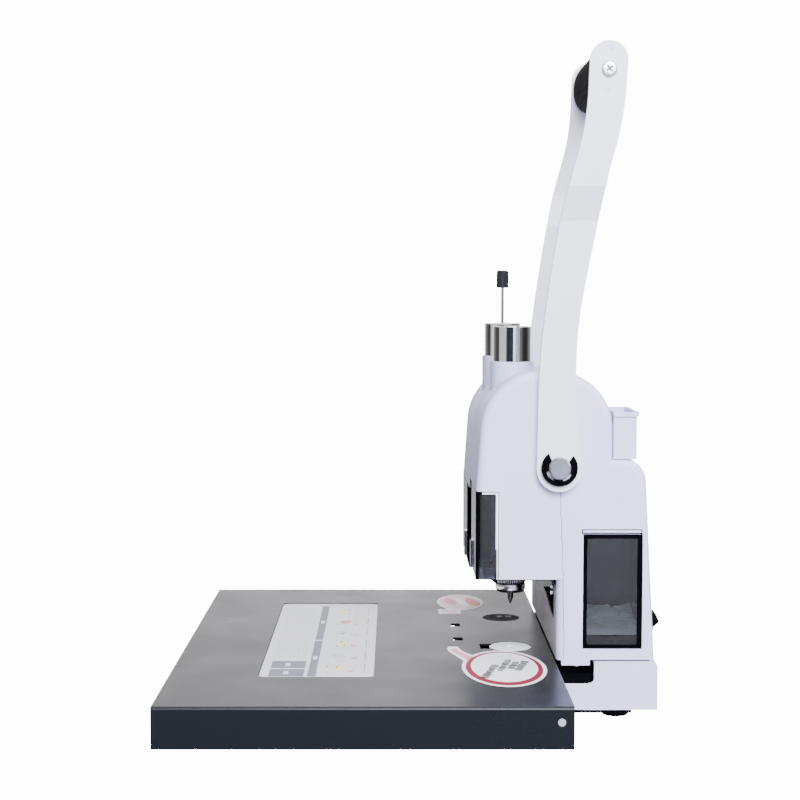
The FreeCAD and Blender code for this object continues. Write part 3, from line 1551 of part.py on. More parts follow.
def check_and_write():
    """Refuse a failed feature or an empty or invalid shape, then write one STEP file for each node."""
    document.recompute()
    for thing in document.Objects:
        if "Invalid" in thing.State or "Error" in thing.State:
            raise RuntimeError("%s failed: %s" % (thing.Name, thing.State))
    for thing in nodes:
        if thing.Shape.isNull() or not thing.Shape.isValid() or not thing.Shape.Solids:
            raise RuntimeError("bad shape: " + thing.Label)
    os.makedirs(NODE_FOLDER, exist_ok=True)
    for thing in nodes:
        thing.Shape.exportStep(os.path.join(NODE_FOLDER, thing.Label + ".step"))
    print("wrote %d nodes" % len(nodes))


build_table()
build_stations()
build_base()
build_side_covers()
build_tower_covers()
build_windows()
build_rear()
build_frame()
build_lever()
build_rivet_ram()
build_drill_unit()
build_bin()
build_fasteners()
check_and_write()
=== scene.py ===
"""Looks of the document riveting machine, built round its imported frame."""

import logging
import math
import random
from dataclasses import dataclass, field
from enum import Enum
from functools import cache
from typing import Callable, Iterable, Optional, Sequence

import bmesh
import bpy
from mathutils import Matrix, Vector


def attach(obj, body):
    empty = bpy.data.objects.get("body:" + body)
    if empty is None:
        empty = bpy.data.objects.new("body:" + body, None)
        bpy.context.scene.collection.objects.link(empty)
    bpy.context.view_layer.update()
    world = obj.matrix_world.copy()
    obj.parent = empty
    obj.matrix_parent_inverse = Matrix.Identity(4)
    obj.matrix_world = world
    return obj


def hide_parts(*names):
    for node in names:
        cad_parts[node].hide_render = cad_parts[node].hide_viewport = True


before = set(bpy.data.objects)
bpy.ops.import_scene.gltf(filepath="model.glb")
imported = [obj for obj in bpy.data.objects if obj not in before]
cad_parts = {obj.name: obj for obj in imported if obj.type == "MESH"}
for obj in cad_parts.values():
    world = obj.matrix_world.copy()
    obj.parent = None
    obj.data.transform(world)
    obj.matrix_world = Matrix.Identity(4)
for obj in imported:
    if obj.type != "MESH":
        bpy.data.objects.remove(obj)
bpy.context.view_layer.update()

logging.basicConfig(level=logging.INFO, format="%(message)s")
log = logging.getLogger("riveting_machine")

Colour = tuple[float, float, float]
Point = tuple[float, float, float]
Pair = tuple[float, float]
Vert, Edge = bmesh.types.BMVert, bmesh.types.BMEdge
Tree, Node = bpy.types.NodeTree, bpy.types.Node

MM = 0.001
TABLE_FRONT = -191.5
NUMBER, VECTOR, COLOUR = "NodeSocketFloat", "NodeSocketVector", "NodeSocketColor"
# The colour sockets of a Mix node.
MIX_A, MIX_B, MIX_OUT = 6, 7, 2
WHITE, NO_LIGHT = (1.0, 1.0, 1.0, 1.0), (0.0, 0.0, 0.0, 1.0)


def mm(x: float, y: float, z: float) -> Vector:
    """Turns millimetres in the machine's frame into metres."""
    return Vector((x * MM, y * MM, z * MM))


def behind_edge(distance: float) -> float:
    """Turns a distance behind the table's front edge into the frame's Y, both in millimetres."""
    return distance + TABLE_FRONT


def span(near: float, far: float) -> Pair:
    """Turns two distances behind the table's front edge into limits along Y."""
    return behind_edge(near), behind_edge(far)


def add_node(tree: Tree, kind: str, values: Optional[dict] = None, **settings: object) -> Node:
    """Adds a shader node.

    Args:
        tree: the tree it goes into.
        kind: its type, without the leading ShaderNode.
        values: values for its inputs, by name or number.
        **settings: its own settings.

    Returns:
        The node.
    """
    made = tree.nodes.new("ShaderNode" + kind)
    for label, setting in settings.items():
        setattr(made, label, setting)
    for label, value in (values or {}).items():
        made.inputs[label].default_value = value
    return made


def wire(tree: Tree, *rows: tuple) -> None:
    """Links nodes by (from node, its output, to node, its input) rows."""
    for start, output, end, entry in rows:
        tree.links.new(start.outputs[output], end.inputs[entry])


def pick(items: Iterable, kind: type) -> list:
    """Picks those of an operator's results that are of one kind."""
    return [item for item in items if isinstance(item, kind)]


def edges_of(verts: Iterable[Vert]) -> list[Edge]:
    """The edges that touch some vertices, each once and always in the same order."""
    return list(dict.fromkeys(edge for vert in verts for edge in vert.link_edges))


def add_object(name: str, data: bpy.types.ID) -> bpy.types.Object:
    """Adds an object to the scene.

    Args:
        name: its name.
        data: its mesh, light or camera.

    Returns:
        The object.
    """
    made = bpy.data.objects.new(name, data)
    bpy.context.scene.collection.objects.link(made)
    return made


class Body(Enum):
    """The bodies that pieces ride on."""

    MACHINE = "machine"
    LEVER = "lever"
    RIVET = "rivet_ram"
    BIN = "bin"
    ROCKER = "rocker_key"
    PAD = "pad"


# ---------------------------------------------------------------- shared shader effects
class Effects:
    """Node groups that several finishes share, each built once."""

    @staticmethod
    def _begin(
        name: str, detail: float, inputs: dict[str, str], outputs: dict[str, str],
    ) -> tuple[Tree, Node, Node, Node]:
        """Makes a group with a noise on Object coordinates.

        Args:
            name: the group's name.
            detail: the noise's detail.
            inputs: socket types by name, with the noise's Scale among them.
            outputs: socket types by name.

        Returns:
            The group with its input, noise and output nodes.
        """
        group = bpy.data.node_groups.new(name, "ShaderNodeTree")
        for way, sockets in (("INPUT", inputs), ("OUTPUT", outputs)):
            for label, kind in sockets.items():
                group.interface.new_socket(name=label, in_out=way, socket_type=kind)
        source, sink = group.nodes.new("NodeGroupInput"), group.nodes.new("NodeGroupOutput")
        noise = add_node(group, "TexNoise", {"Detail": detail})
        where = add_node(group, "TexCoord")
        wire(group, (where, "Object", noise, "Vector"), (source, "Scale", noise, "Scale"))
        return group, source, noise, sink

    @staticmethod
    @cache
    def grain() -> Tree:
        """A normal bumped by fine grain, or by tool lines where the grain is stretched."""
        group, source, noise, sink = Effects._begin(
            "fine_grain", 3.0,
            {"Scale": NUMBER, "Stretch": VECTOR, "Height": NUMBER, "Distance": NUMBER},
            {"Normal": VECTOR},
        )
        where = noise.inputs["Vector"].links[0].from_node
        spread, bump = add_node(group, "VectorMath", operation="MULTIPLY"), add_node(group, "Bump")
        wire(
            group, (where, "Object", spread, 0), (source, "Stretch", spread, 1),
            (spread, "Vector", noise, "Vector"), (noise, "Fac", bump, "Height"),
            (source, "Height", bump, "Strength"), (source, "Distance", bump, "Distance"),
            (bump, "Normal", sink, "Normal"),
        )
        return group

    @staticmethod
    @cache
    def drift() -> Tree:
        """A slow drift between two colours."""
        group, source, noise, sink = Effects._begin(
            "colour_drift", 2.0, {"First": COLOUR, "Second": COLOUR, "Scale": NUMBER},
            {"Color": COLOUR},
        )
        share = add_node(group, "MapRange", {"From Min": 0.35, "From Max": 0.65})
        mix = add_node(group, "Mix", data_type="RGBA")
        wire(
            group, (noise, "Fac", share, "Value"), (share, "Result", mix, "Factor"),
            (source, "First", mix, MIX_A), (source, "Second", mix, MIX_B),
            (mix, MIX_OUT, sink, "Color"),
        )
        return group

    @staticmethod
    @cache
    def smudge() -> Tree:
        """A roughness that varies a little, as handling leaves it."""
        group, source, noise, sink = Effects._begin(
            "handling_smudge", 4.0, {"Low": NUMBER, "High": NUMBER, "Scale": NUMBER},
            {"Roughness": NUMBER},
        )
        share = add_node(group, "MapRange", {"From Min": 0.3, "From Max": 0.7})
        wire(
            group, (noise, "Fac", share, "Value"), (source, "Low", share, "To Min"),
            (source, "High", share, "To Max"), (share, "Result", sink, "Roughness"),
        )
        return group


@dataclass
class Bench:
    """A new material with its Principled shader, ready for a finish to wire up."""

    name: str
    material: bpy.types.Material = field(init=False)
    shader: Node = field(init=False)

    def __post_init__(self) -> None:
        """Makes the material and finds its shader."""
        self.material = bpy.data.materials.new(self.name)
        self.material.use_nodes = True
        self.shader = self.material.node_tree.nodes["Principled BSDF"]

    def plain(self, **values: object) -> None:
        """Sets constants on the shader's own sockets; an underscore stands for a space."""
        for label, value in values.items():
            self.shader.inputs[label.replace("_", " ")].default_value = value

    def effect(self, tree: Tree, output: str, entry: str, **values: object) -> None:
        """Places a shared effect with its own values and feeds it to the shader.

        Args:
            tree: the effect's group.
            output: the group's output.
            entry: the shader's input.
            **values: values for the group's inputs.
        """
        group = add_node(self.material.node_tree, "Group", values, node_tree=tree)
        wire(self.material.node_tree, (group, output, self.shader, entry))

    def colour(self, first: Colour, second: Colour, scale: float = 12.0) -> None:
        """Feeds a base colour that drifts between two."""
        self.effect(
            Effects.drift(), "Color", "Base Color", First=(*first, 1.0), Second=(*second, 1.0),
            Scale=scale,
        )

    def roughness(self, limits: Pair, scale: float = 20.0) -> None:
        """Feeds a roughness that varies between two limits."""
        low, high = limits
        self.effect(Effects.smudge(), "Roughness", "Roughness", Low=low, High=high, Scale=scale)

    def grain(
        self, scale: float, height: float, distance: float = 0.0002,
        stretch: Point = (1.0, 1.0, 1.0),
    ) -> None:
        """Feeds a normal with grain or tool lines.

        Args:
            scale: how fine it is.
            height: its strength.
            distance: its depth in metres.
            stretch: how much finer it is along each direction.
        """
        self.effect(
            Effects.grain(), "Normal", "Normal", Scale=scale, Stretch=stretch, Height=height,
            Distance=distance,
        )


# ---------------------------------------------------------------- finishes
@dataclass(frozen=True)
class Coating:
    """Moulded plastic or paint: a drifting colour under a fine grain."""

    name: str
    first: Colour
    second: Colour
    rough: Pair
    grain_scale: float
    grain_height: float = 0.12
    specular: float = 0.5

    def make(self) -> bpy.types.Material:
        """Builds the material."""
        bench = Bench(self.name)
        bench.plain(Specular_IOR_Level=self.specular)
        bench.colour(self.first, self.second)
        bench.roughness(self.rough)
        bench.grain(self.grain_scale, self.grain_height)
        return bench.material


@dataclass(frozen=True)
class Film(Coating):
    """A thin film of ink or vinyl; some of these also serve as painted shade and highlights."""

    rough: Pair = (0.40, 0.50)
    grain_scale: float = 600.0
    grain_height: float = 0.04
    specular: float = 0.1


@dataclass(frozen=True)
class Plating:
    """Polished plating with faint handling marks."""

    name: str
    first: Colour = (0.80, 0.80, 0.82)
    second: Colour = (0.74, 0.74, 0.77)
    rough: Pair = (0.03, 0.08)

    def make(self) -> bpy.types.Material:
        """Builds the material."""
        bench = Bench(self.name)
        bench.plain(Metallic=1.0)
        bench.colour(self.first, self.second, 30.0)
        bench.roughness(self.rough, 60.0)
        return bench.material


@dataclass(frozen=True)
class Machined:
    """Turned, milled or brushed metal with tool lines."""

    name: str
    first: Colour
    second: Colour
    rough: Pair = (0.22, 0.34)
    stretch: Point = (1.0, 1.0, 30.0)
    line_scale: float = 150.0
    line_height: float = 0.12

    def make(self) -> bpy.types.Material:
        """Builds the material."""
        bench = Bench(self.name)
        bench.plain(Metallic=1.0)
        bench.colour(self.first, self.second, 40.0)
        bench.roughness(self.rough, 50.0)
        bench.grain(self.line_scale, self.line_height, 0.0001, self.stretch)
        return bench.material


@dataclass(frozen=True)
class SmokedClear:
    """Smoked see-through plastic."""

    name: str
    tint: Colour
    darker: float = 0.92

    def make(self) -> bpy.types.Material:
        """Builds the material."""
        bench = Bench(self.name)
        bench.plain(IOR=1.46, Roughness=0.06, Transmission_Weight=1.0)
        bench.colour(self.tint, tuple(self.darker * part for part in self.tint), 8.0)
        bench.grain(260.0, 0.03)
        return bench.material


class Finish(Enum):
    """The machine's finishes: two colours, the roughness, the grain and the gloss."""

    BODY = Coating(
        "body_plastic", (0.63, 0.63, 0.86), (0.61, 0.61, 0.84), (0.36, 0.46), 1500.0, 0.10, 0.2)
    ARM = Coating("arm_paint", (0.76, 0.78, 0.86), (0.74, 0.76, 0.84), (0.34, 0.44), 1100.0)
    # Blue-grey paint of the base tray; on the grip pins the same colour is painted shade.
    TRAY = Coating("tray_paint_and_pin_shade", (0.62, 0.65, 0.80), (0.60, 0.63, 0.78), (0.38, 0.48), 1100.0)
    COLUMN = Coating(
        "column_paint", (0.44, 0.43, 0.44), (0.41, 0.40, 0.41), (0.32, 0.42), 1100.0, 0.10)
    TABLE = Coating(
        "table_paint", (0.0026, 0.0042, 0.0068), (0.0020, 0.0035, 0.0060), (0.27, 0.33), 1300.0,
        0.10, 0.20)
    BLACK = Coating(
        "enamel_black", (0.0010, 0.0010, 0.0016), (0.0016, 0.0016, 0.0024), (0.20, 0.28), 1200.0,
        specular=0.03)
    MATT = Coating(
        "matt_black", (0.0014, 0.0014, 0.0020), (0.0022, 0.0022, 0.0030), (0.50, 0.60), 1200.0,
        specular=0.0)
    KNOB = Coating(
        "knob_black", (0.012, 0.012, 0.014), (0.016, 0.016, 0.018), (0.30, 0.40), 1200.0,
        specular=0.25)
    BLACK_PLASTIC = Coating(
        "moulded_black", (0.0012, 0.0012, 0.0018), (0.0020, 0.0020, 0.0028), (0.16, 0.24), 1600.0,
        specular=0.04)
    SLATE = Coating(
        "pocket_plastic", (0.040, 0.046, 0.060), (0.032, 0.038, 0.052), (0.40, 0.50), 1400.0,
        specular=0.1)
    RUBBER = Coating(
        "grip_rubber", (0.062, 0.058, 0.059), (0.076, 0.072, 0.073), (0.42, 0.54), 1200.0, 0.2, 0.0)
    PAD = Coating(
        "pad_plastic", (0.30, 0.277, 0.272), (0.32, 0.297, 0.292), (0.60, 0.70), 900.0,
        specular=0.0)
    CARD = Coating(
        "card_paper", (0.62, 0.62, 0.59), (0.60, 0.60, 0.57), (0.40, 0.50), 700.0, 0.05, 0.2)
    BOARD = Coating("board_resin", (0.02, 0.11, 0.05), (0.015, 0.09, 0.04), (0.30, 0.40), 800.0)
    CHADS = Coating(
        "paper_chads", (0.80, 0.74, 0.58), (0.62, 0.57, 0.46), (0.7, 0.8), 800.0, specular=0.1)
    SEAM = Coating("seam_shadow", (0.22, 0.22, 0.28), (0.20, 0.20, 0.26), (0.5, 0.6), 900.0, 0.05)
    # White strips painted as the highlight on the windows' edges.
    EDGE = Coating("painted_edge_highlight", (0.92, 0.92, 0.93), (0.90, 0.90, 0.91), (0.30, 0.40), 600.0, 0.04)
    ANVIL = Coating("anvil_face", (0.92, 0.93, 0.93), (0.90, 0.91, 0.91), (0.26, 0.34), 500.0, 0.05)
    STICKER = Film("sticker_white", (0.84, 0.83, 0.80), (0.82, 0.81, 0.78), specular=0.2)
    INK_RED = Film("ink_red", (0.22, 0.012, 0.030), (0.19, 0.010, 0.026))
    INK_PINK = Film("ink_pink", (0.68, 0.30, 0.31), (0.65, 0.27, 0.28))
    INK_BLUSH = Film("ink_blush", (0.80, 0.60, 0.60), (0.78, 0.56, 0.57))
    INK_CORAL = Film("ink_coral", (0.64, 0.25, 0.21), (0.61, 0.22, 0.18))
    # Grey print on the card, and painted shade in the grip screws' cross recesses.
    INK_GREY = Film("grey_ink_and_painted_shade", (0.16, 0.16, 0.19), (0.14, 0.14, 0.17), specular=0.2)
    # Pale print on the card, and a paler painted highlight low on the windows' rear edges.
    INK_PALE = Film("pale_ink_and_painted_highlight", (0.50, 0.50, 0.50), (0.47, 0.47, 0.48), specular=0.2)
    # Dark print on the card and stickers, painted shade in the cover gaps, and dark lines on the
    # windows' edges.
    INK_DARK = Film("dark_ink_and_painted_shade", (0.02, 0.02, 0.024), (0.016, 0.016, 0.02))
    INK_YELLOW = Film("ink_yellow", (0.76, 0.68, 0.34), (0.74, 0.66, 0.34), specular=0.2)
    CHROME = Plating("polished_plating")
    SCREW = Plating("bright_screw", (0.88, 0.88, 0.90), (0.82, 0.82, 0.84), (0.16, 0.26))
    SCREW_HEAD = Plating("screw_head", (0.78, 0.78, 0.79), (0.70, 0.70, 0.71), (0.30, 0.40))
    STEEL = Machined("turned_steel", (0.42, 0.42, 0.42), (0.34, 0.34, 0.34), (0.12, 0.22))
    PLATE = Machined("frame_steel", (0.42, 0.43, 0.44), (0.36, 0.37, 0.38), (0.34, 0.44))
    SHAFT = Machined("shaft_end", (0.30, 0.32, 0.36), (0.16, 0.17, 0.20), (0.24, 0.36))
    ALLOY = Machined(
        "milled_alloy", (0.70, 0.71, 0.72), (0.64, 0.65, 0.66), (0.26, 0.36), (30.0, 1.0, 1.0))
    BRASS = Machined("turned_brass", (0.62, 0.46, 0.20), (0.56, 0.42, 0.18))
    PIN = Machined("pin_steel", (0.10, 0.092, 0.085), (0.06, 0.056, 0.052), (0.14, 0.22))
    KNURL = Machined("knurl_shadow", (0.050, 0.050, 0.060), (0.036, 0.036, 0.044), (0.20, 0.30))
    WINDOW = SmokedClear("smoked_window", (0.115, 0.145, 0.20))
    BIN = SmokedClear("smoked_bin", (0.30, 0.335, 0.395))

    def material(self) -> bpy.types.Material:
        """The finish's material, built on first use."""
        return bpy.data.materials.get(self.value.name) or self.value.make()


NODE_FINISHES: dict[Finish, tuple[str, ...]] = {
    Finish.TABLE: ("table_top",),
    Finish.CARD: ("instruction_card",),
    Finish.PAD: ("drill_pad",),
    Finish.ANVIL: ("rivet_anvil",),
    Finish.BRASS: ("anvil_heater", "shaft_bushes"),
    # The grip pins take the tray's darker blue-grey as painted shade of their shallow recesses.
    Finish.TRAY: ("base_tray", "grip_pins"),
    Finish.MATT: ("rubber_feet",),
    Finish.COLUMN: ("column_front_plate",),
    Finish.BODY: (
        "side_cover_right", "side_cover_left", "tower_cover_right", "tower_cover_left",
        "rear_cover", "tube_holder",
    ),
    Finish.ARM: ("lever_arm_right", "lever_arm_left"),
    Finish.BLACK: (
        "runner_rails", "frame_floor_plate", "shaft_clips", "stop_bracket", "die_guard",
        "frame_plate_right", "frame_plate_mid_right", "frame_plate_mid_left", "frame_plate_left",
    ),
    Finish.BLACK_PLASTIC: ("switch_frame", "rocker", "mains_inlet"),
    Finish.KNOB: ("clearing_knob",),
    Finish.SLATE: ("bin_pocket",),
    Finish.RUBBER: ("drive_belt",),
    Finish.PLATE: ("drill_pad_seat",),
    Finish.STEEL: (
        "pinion_rivet", "pinion_drill", "ram_rivet", "quill_drill", "spindle", "drill_motor",
        "drill_bit",
    ),
    Finish.PIN: ("rivet_pin",),
    Finish.SHAFT: ("lever_shaft",),
    Finish.ALLOY: (
        "ram_guide_rivet", "ram_guide_drill", "drill_carriage", "motor_pulley", "spindle_pulley",
    ),
    Finish.CHROME: ("ram_cap_rivet", "ram_cap_drill", "clearing_rod", "chuck"),
    Finish.SCREW: ("cover_screws",),
    Finish.WINDOW: ("window_right", "window_left"),
    Finish.BIN: ("waste_bin",),
    Finish.BOARD: ("control_board",),
}


def dress_nodes() -> None:
    """Gives each CAD node that stays in sight its finish."""
    for finish, names in NODE_FINISHES.items():
        for name in names:
            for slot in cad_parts[name].material_slots:
                slot.material = finish.material()
    log.info("dressed %d nodes", sum(len(names) for names in NODE_FINISHES.values()))


# ---------------------------------------------------------------- mesh drafting
@dataclass
class Draft:
    """One piece in the making: a bmesh with its list of finishes. Sizes are in millimetres."""

    name: str
    finishes: Sequence[Finish] = ()
    mesh: bmesh.types.BMesh = field(default_factory=bmesh.new)

    def _paint(self, verts: Iterable[Vert], finish: int) -> None:
        """Gives the faces round some vertices a finish."""
        for vert in verts:
            for face in vert.link_faces:
                face.material_index = finish

    def _round(self, edges: list[Edge], radius: float) -> None:
        """Rounds edges."""
        bmesh.ops.bevel(
            self.mesh, geom=edges, offset=radius * MM, segments=3, profile=0.5, affect="EDGES",
            material=-1,
        )

    def _thicken(self, faces: list[bmesh.types.BMFace], way: Vector, finish: int) -> None:
        """Turns flat faces into a plate.

        Args:
            faces: the faces of one side.
            way: where the other side is, in metres.
            finish: the number of its finish.
        """
        made = bmesh.ops.extrude_face_region(self.mesh, geom=faces, use_keep_orig=True)["geom"]
        lifted = pick(made, Vert)
        bmesh.ops.translate(self.mesh, vec=way, verts=lifted)
        self._paint(lifted, finish)
        for face in faces:
            face.material_index = finish

    def roller(
        self, size: Vector, turn: Matrix, middle: Vector, segments: int, finish: int = 0,
    ) -> list[Vert]:
        """Adds a cylinder, all in metres.

        Args:
            size: its two half sizes across and its length, as it stands upright.
            turn: its turn from upright.
            middle: its middle.
            segments: corners round it.
            finish: the number of its finish.

        Returns:
            Its vertices.
        """
        verts = bmesh.ops.create_cone(
            self.mesh, cap_ends=True, cap_tris=False, segments=segments, radius1=1.0, radius2=1.0,
            depth=1.0,
        )["verts"]
        bmesh.ops.scale(self.mesh, vec=size, verts=verts)
        bmesh.ops.rotate(self.mesh, cent=(0, 0, 0), matrix=turn, verts=verts)
        bmesh.ops.translate(self.mesh, vec=middle, verts=verts)
        self._paint(verts, finish)
        return verts

    def block(self, low: Point, high: Point, finish: int = 0, round_to: float = 0.0) -> None:
        """Adds a block between two corners.

        Args:
            low: the lowest corner.
            high: the highest corner.
            finish: the number of its finish.
            round_to: the radius of its edges.
        """
        verts = bmesh.ops.create_cube(self.mesh, size=1.0)["verts"]
        first, last = mm(*low), mm(*high)
        bmesh.ops.scale(self.mesh, vec=last - first, verts=verts)
        bmesh.ops.translate(self.mesh, vec=(first + last) / 2, verts=verts)
        self._paint(verts, finish)
        if round_to:
            self._round(edges_of(verts), round_to)

    def disc(
        self, centre: Point, radii: Pair, thick: float, finish: int = 0, segments: int = 64,
        turn: float = 0.0,
    ) -> None:
        """Adds an upright elliptical plate.

        Args:
            centre: the middle of its underside.
            radii: its half sizes along X and Y.
            thick: its thickness.
            finish: the number of its finish.
            segments: corners round the edge.
            turn: its turn about Z, in degrees.
        """
        spin = Matrix.Rotation(math.radians(turn), 3, "Z")
        middle = mm(*centre) + mm(0.0, 0.0, thick / 2)
        self.roller(mm(*radii, thick), spin, middle, segments, finish)

    def rod(
        self, start: Point, end: Point, radius: float, segments: int = 40, chamfer: float = 0.0,
    ) -> None:
        """Adds a rod between two points.

        Args:
            start: the centre of its first end.
            end: the centre of its second end.
            radius: its radius.
            segments: corners round it.
            chamfer: the rounding of its ends.
        """
        first, last = mm(*start), mm(*end)
        along = last - first
        size = Vector((radius * MM, radius * MM, along.length))
        turn = Vector((0, 0, 1)).rotation_difference(along.normalized()).to_matrix()
        verts = self.roller(size, turn, (first + last) / 2, segments)
        if chamfer:
            self._round([
                edge for edge in edges_of(verts)
                if any(len(face.verts) > 4 for face in edge.link_faces)
            ], chamfer)

    def ribbon(self, steps: Sequence[Point], low: float, high: float, finish: int = 0) -> None:
        """Adds a flat strip that follows a line and changes its width.

        Args:
            steps: (x, y, half width) rows along its middle line.
            low: the height of its underside.
            high: the height of its upper side.
            finish: the number of its finish.
        """
        last = len(steps) - 1
        grid = bmesh.ops.create_grid(self.mesh, x_segments=last, y_segments=1, size=1.0)["verts"]
        for vert in grid:
            number = round((vert.co.x + 1) / 2 * last)
            x, y, half = steps[number]
            before, after = steps[max(number - 1, 0)], steps[min(number + 1, last)]
            along = Vector((after[0] - before[0], after[1] - before[1])).normalized()
            across = half * math.copysign(1.0, vert.co.y)
            vert.co = mm(x - along.y * across, y + along.x * across, low)
        faces = list(dict.fromkeys(face for vert in grid for face in vert.link_faces))
        self._thicken(faces, mm(0.0, 0.0, high - low), finish)

    def cross(self, start: Point, end: Point, reach: float, half: float, turn: float) -> None:
        """Adds a plus-shaped bar along X.

        Args:
            start: the middle of its first end.
            end: the middle of its second end.
            reach: how far its arms reach from the middle.
            half: half the width of an arm.
            turn: its turn about X, in degrees.
        """
        def bearing(spot: Vector) -> float:
            """The angle of a spot round the origin, from nought to a full turn."""
            return math.atan2(spot.y, spot.x) % math.tau

        corners = ((reach, half), (half, half), (half, reach))
        quarters = [Matrix.Rotation(math.radians(90 * step), 2) for step in range(4)]
        outline = [quarter @ Vector(spot) for quarter in quarters for spot in corners]
        made = bmesh.ops.create_circle(
            self.mesh, cap_ends=True, segments=len(outline), radius=1.0,
        )["verts"]
        spun = Matrix.Rotation(math.radians(turn), 2)
        order = sorted(made, key=lambda vert: bearing(vert.co))
        for vert, spot in zip(order, sorted(outline, key=bearing)):
            placed = spun @ spot
            vert.co = mm(start[0], start[1] + placed.x, start[2] + placed.y)
        self._thicken([made[0].link_faces[0]], mm(*end) - mm(*start), 0)

    def frame(self, x: Pair, outer: Sequence[float], inner: Sequence[float], rounds: Pair) -> None:
        """Adds a flat frame that faces along X, with rounded corners.

        Args:
            x: its two faces.
            outer: (lowest y, lowest z, highest y, highest z) of its outside.
            inner: the same of its opening.
            rounds: the corner radii of its outside and its opening.
        """
        corner_steps = 6
        loops = []
        for (y0, z0, y1, z1), radius in zip((outer, inner), rounds):
            spots = []
            for y, z, start in ((y1, z1, 0), (y0, z1, 90), (y0, z0, 180), (y1, z0, 270)):
                middle_y = y - math.copysign(radius, y - (y0 + y1) / 2)
                middle_z = z - math.copysign(radius, z - (z0 + z1) / 2)
                for step in range(corner_steps + 1):
                    angle = math.radians(start + 90 / corner_steps * step)
                    spots.append((
                        middle_y + radius * math.cos(angle), middle_z + radius * math.sin(angle),
                    ))
            verts = [self.mesh.verts.new(mm(x[0], *spot)) for spot in spots]
            loops += [self.mesh.edges.new(ends) for ends in zip(verts, verts[1:] + verts[:1])]
        faces = bmesh.ops.bridge_loops(self.mesh, edges=loops)["faces"]
        self._thicken(faces, mm(x[1] - x[0], 0.0, 0.0), 0)

    def tube(self, segments: int, count: int, place: Callable[[int, float], Vector]) -> None:
        """Adds a closed tube, ring after ring.

        Args:
            segments: corners round it.
            count: how many rings it has.
            place: gives a point in metres from its ring's number and its angle.
        """
        verts = bmesh.ops.create_circle(
            self.mesh, cap_ends=False, segments=segments, radius=1.0,
        )["verts"]
        angles = {vert: math.atan2(vert.co.y, vert.co.x) for vert in verts}
        edges = first_rim = edges_of(verts)
        for number in range(count):
            if number:
                made = bmesh.ops.extrude_edge_only(self.mesh, edges=edges)["geom"]
                below, angles = angles, {}
                for vert in pick(made, Vert):
                    old = (edge.other_vert(vert) for edge in vert.link_edges)
                    angles[vert] = next(below[other] for other in old if other in below)
                edges = [edge for edge in pick(made, Edge) if all(v in angles for v in edge.verts)]
            for vert, angle in angles.items():
                vert.co = place(number, angle)
        for rim in (first_rim, edges):
            bmesh.ops.contextual_create(self.mesh, geom=rim)

    def place(self) -> bpy.types.Object:
        """Turns the mesh into an object in the scene."""
        bmesh.ops.recalc_face_normals(self.mesh, faces=self.mesh.faces)
        data = bpy.data.meshes.new(self.name)
        self.mesh.to_mesh(data)
        self.mesh.free()
        return add_object(self.name, data)

    def finish(
        self, body: Body, slot: str, replaces: Sequence[str] = (), smooth: float = 35.0,
        after: Optional[Callable[[bpy.types.Object], None]] = None,
    ) -> None:
        """Turns the draft into an object that rides on a body.

        Args:
            body: the body it rides on.
            slot: the record's material slot; not used.
            replaces: the CAD nodes it stands for.
            smooth: the angle under which edges are shaded smooth, in degrees.
            after: called with the object before it is attached.
        """
        made = self.place()
        for finish in self.finishes:
            made.data.materials.append(finish.material())
        if smooth:
            made.data.shade_smooth()
            made.data.set_sharp_from_angle(angle=math.radians(smooth))
        if after:
            after(made)
        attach(made, body.value)
        if replaces:
            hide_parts(*replaces)
        log.info("%s: %d faces", self.name, len(made.data.polygons))


def carve(target: bpy.types.Object, cutter: bpy.types.Object) -> None:
    """Cuts one object's shape out of another and removes the cutter.

    Args:
        target: the object that is cut.
        cutter: the object whose shape is taken away.
    """
    modifier = target.modifiers.new("recess", "BOOLEAN")
    modifier.operation = "DIFFERENCE"
    modifier.solver = "EXACT"
    modifier.object = cutter
    bpy.context.view_layer.update()
    evaluated = target.evaluated_get(bpy.context.evaluated_depsgraph_get())
    carved = bpy.data.meshes.new_from_object(evaluated)
    target.modifiers.clear()
    target.data = carved
    bpy.data.objects.remove(cutter)


# ---------------------------------------------------------------- table
(
    STICKER_WHITE, STICKER_RED, STICKER_PINK, STICKER_DARK, STICKER_BLUSH, STICKER_CORAL,
) = range(6)


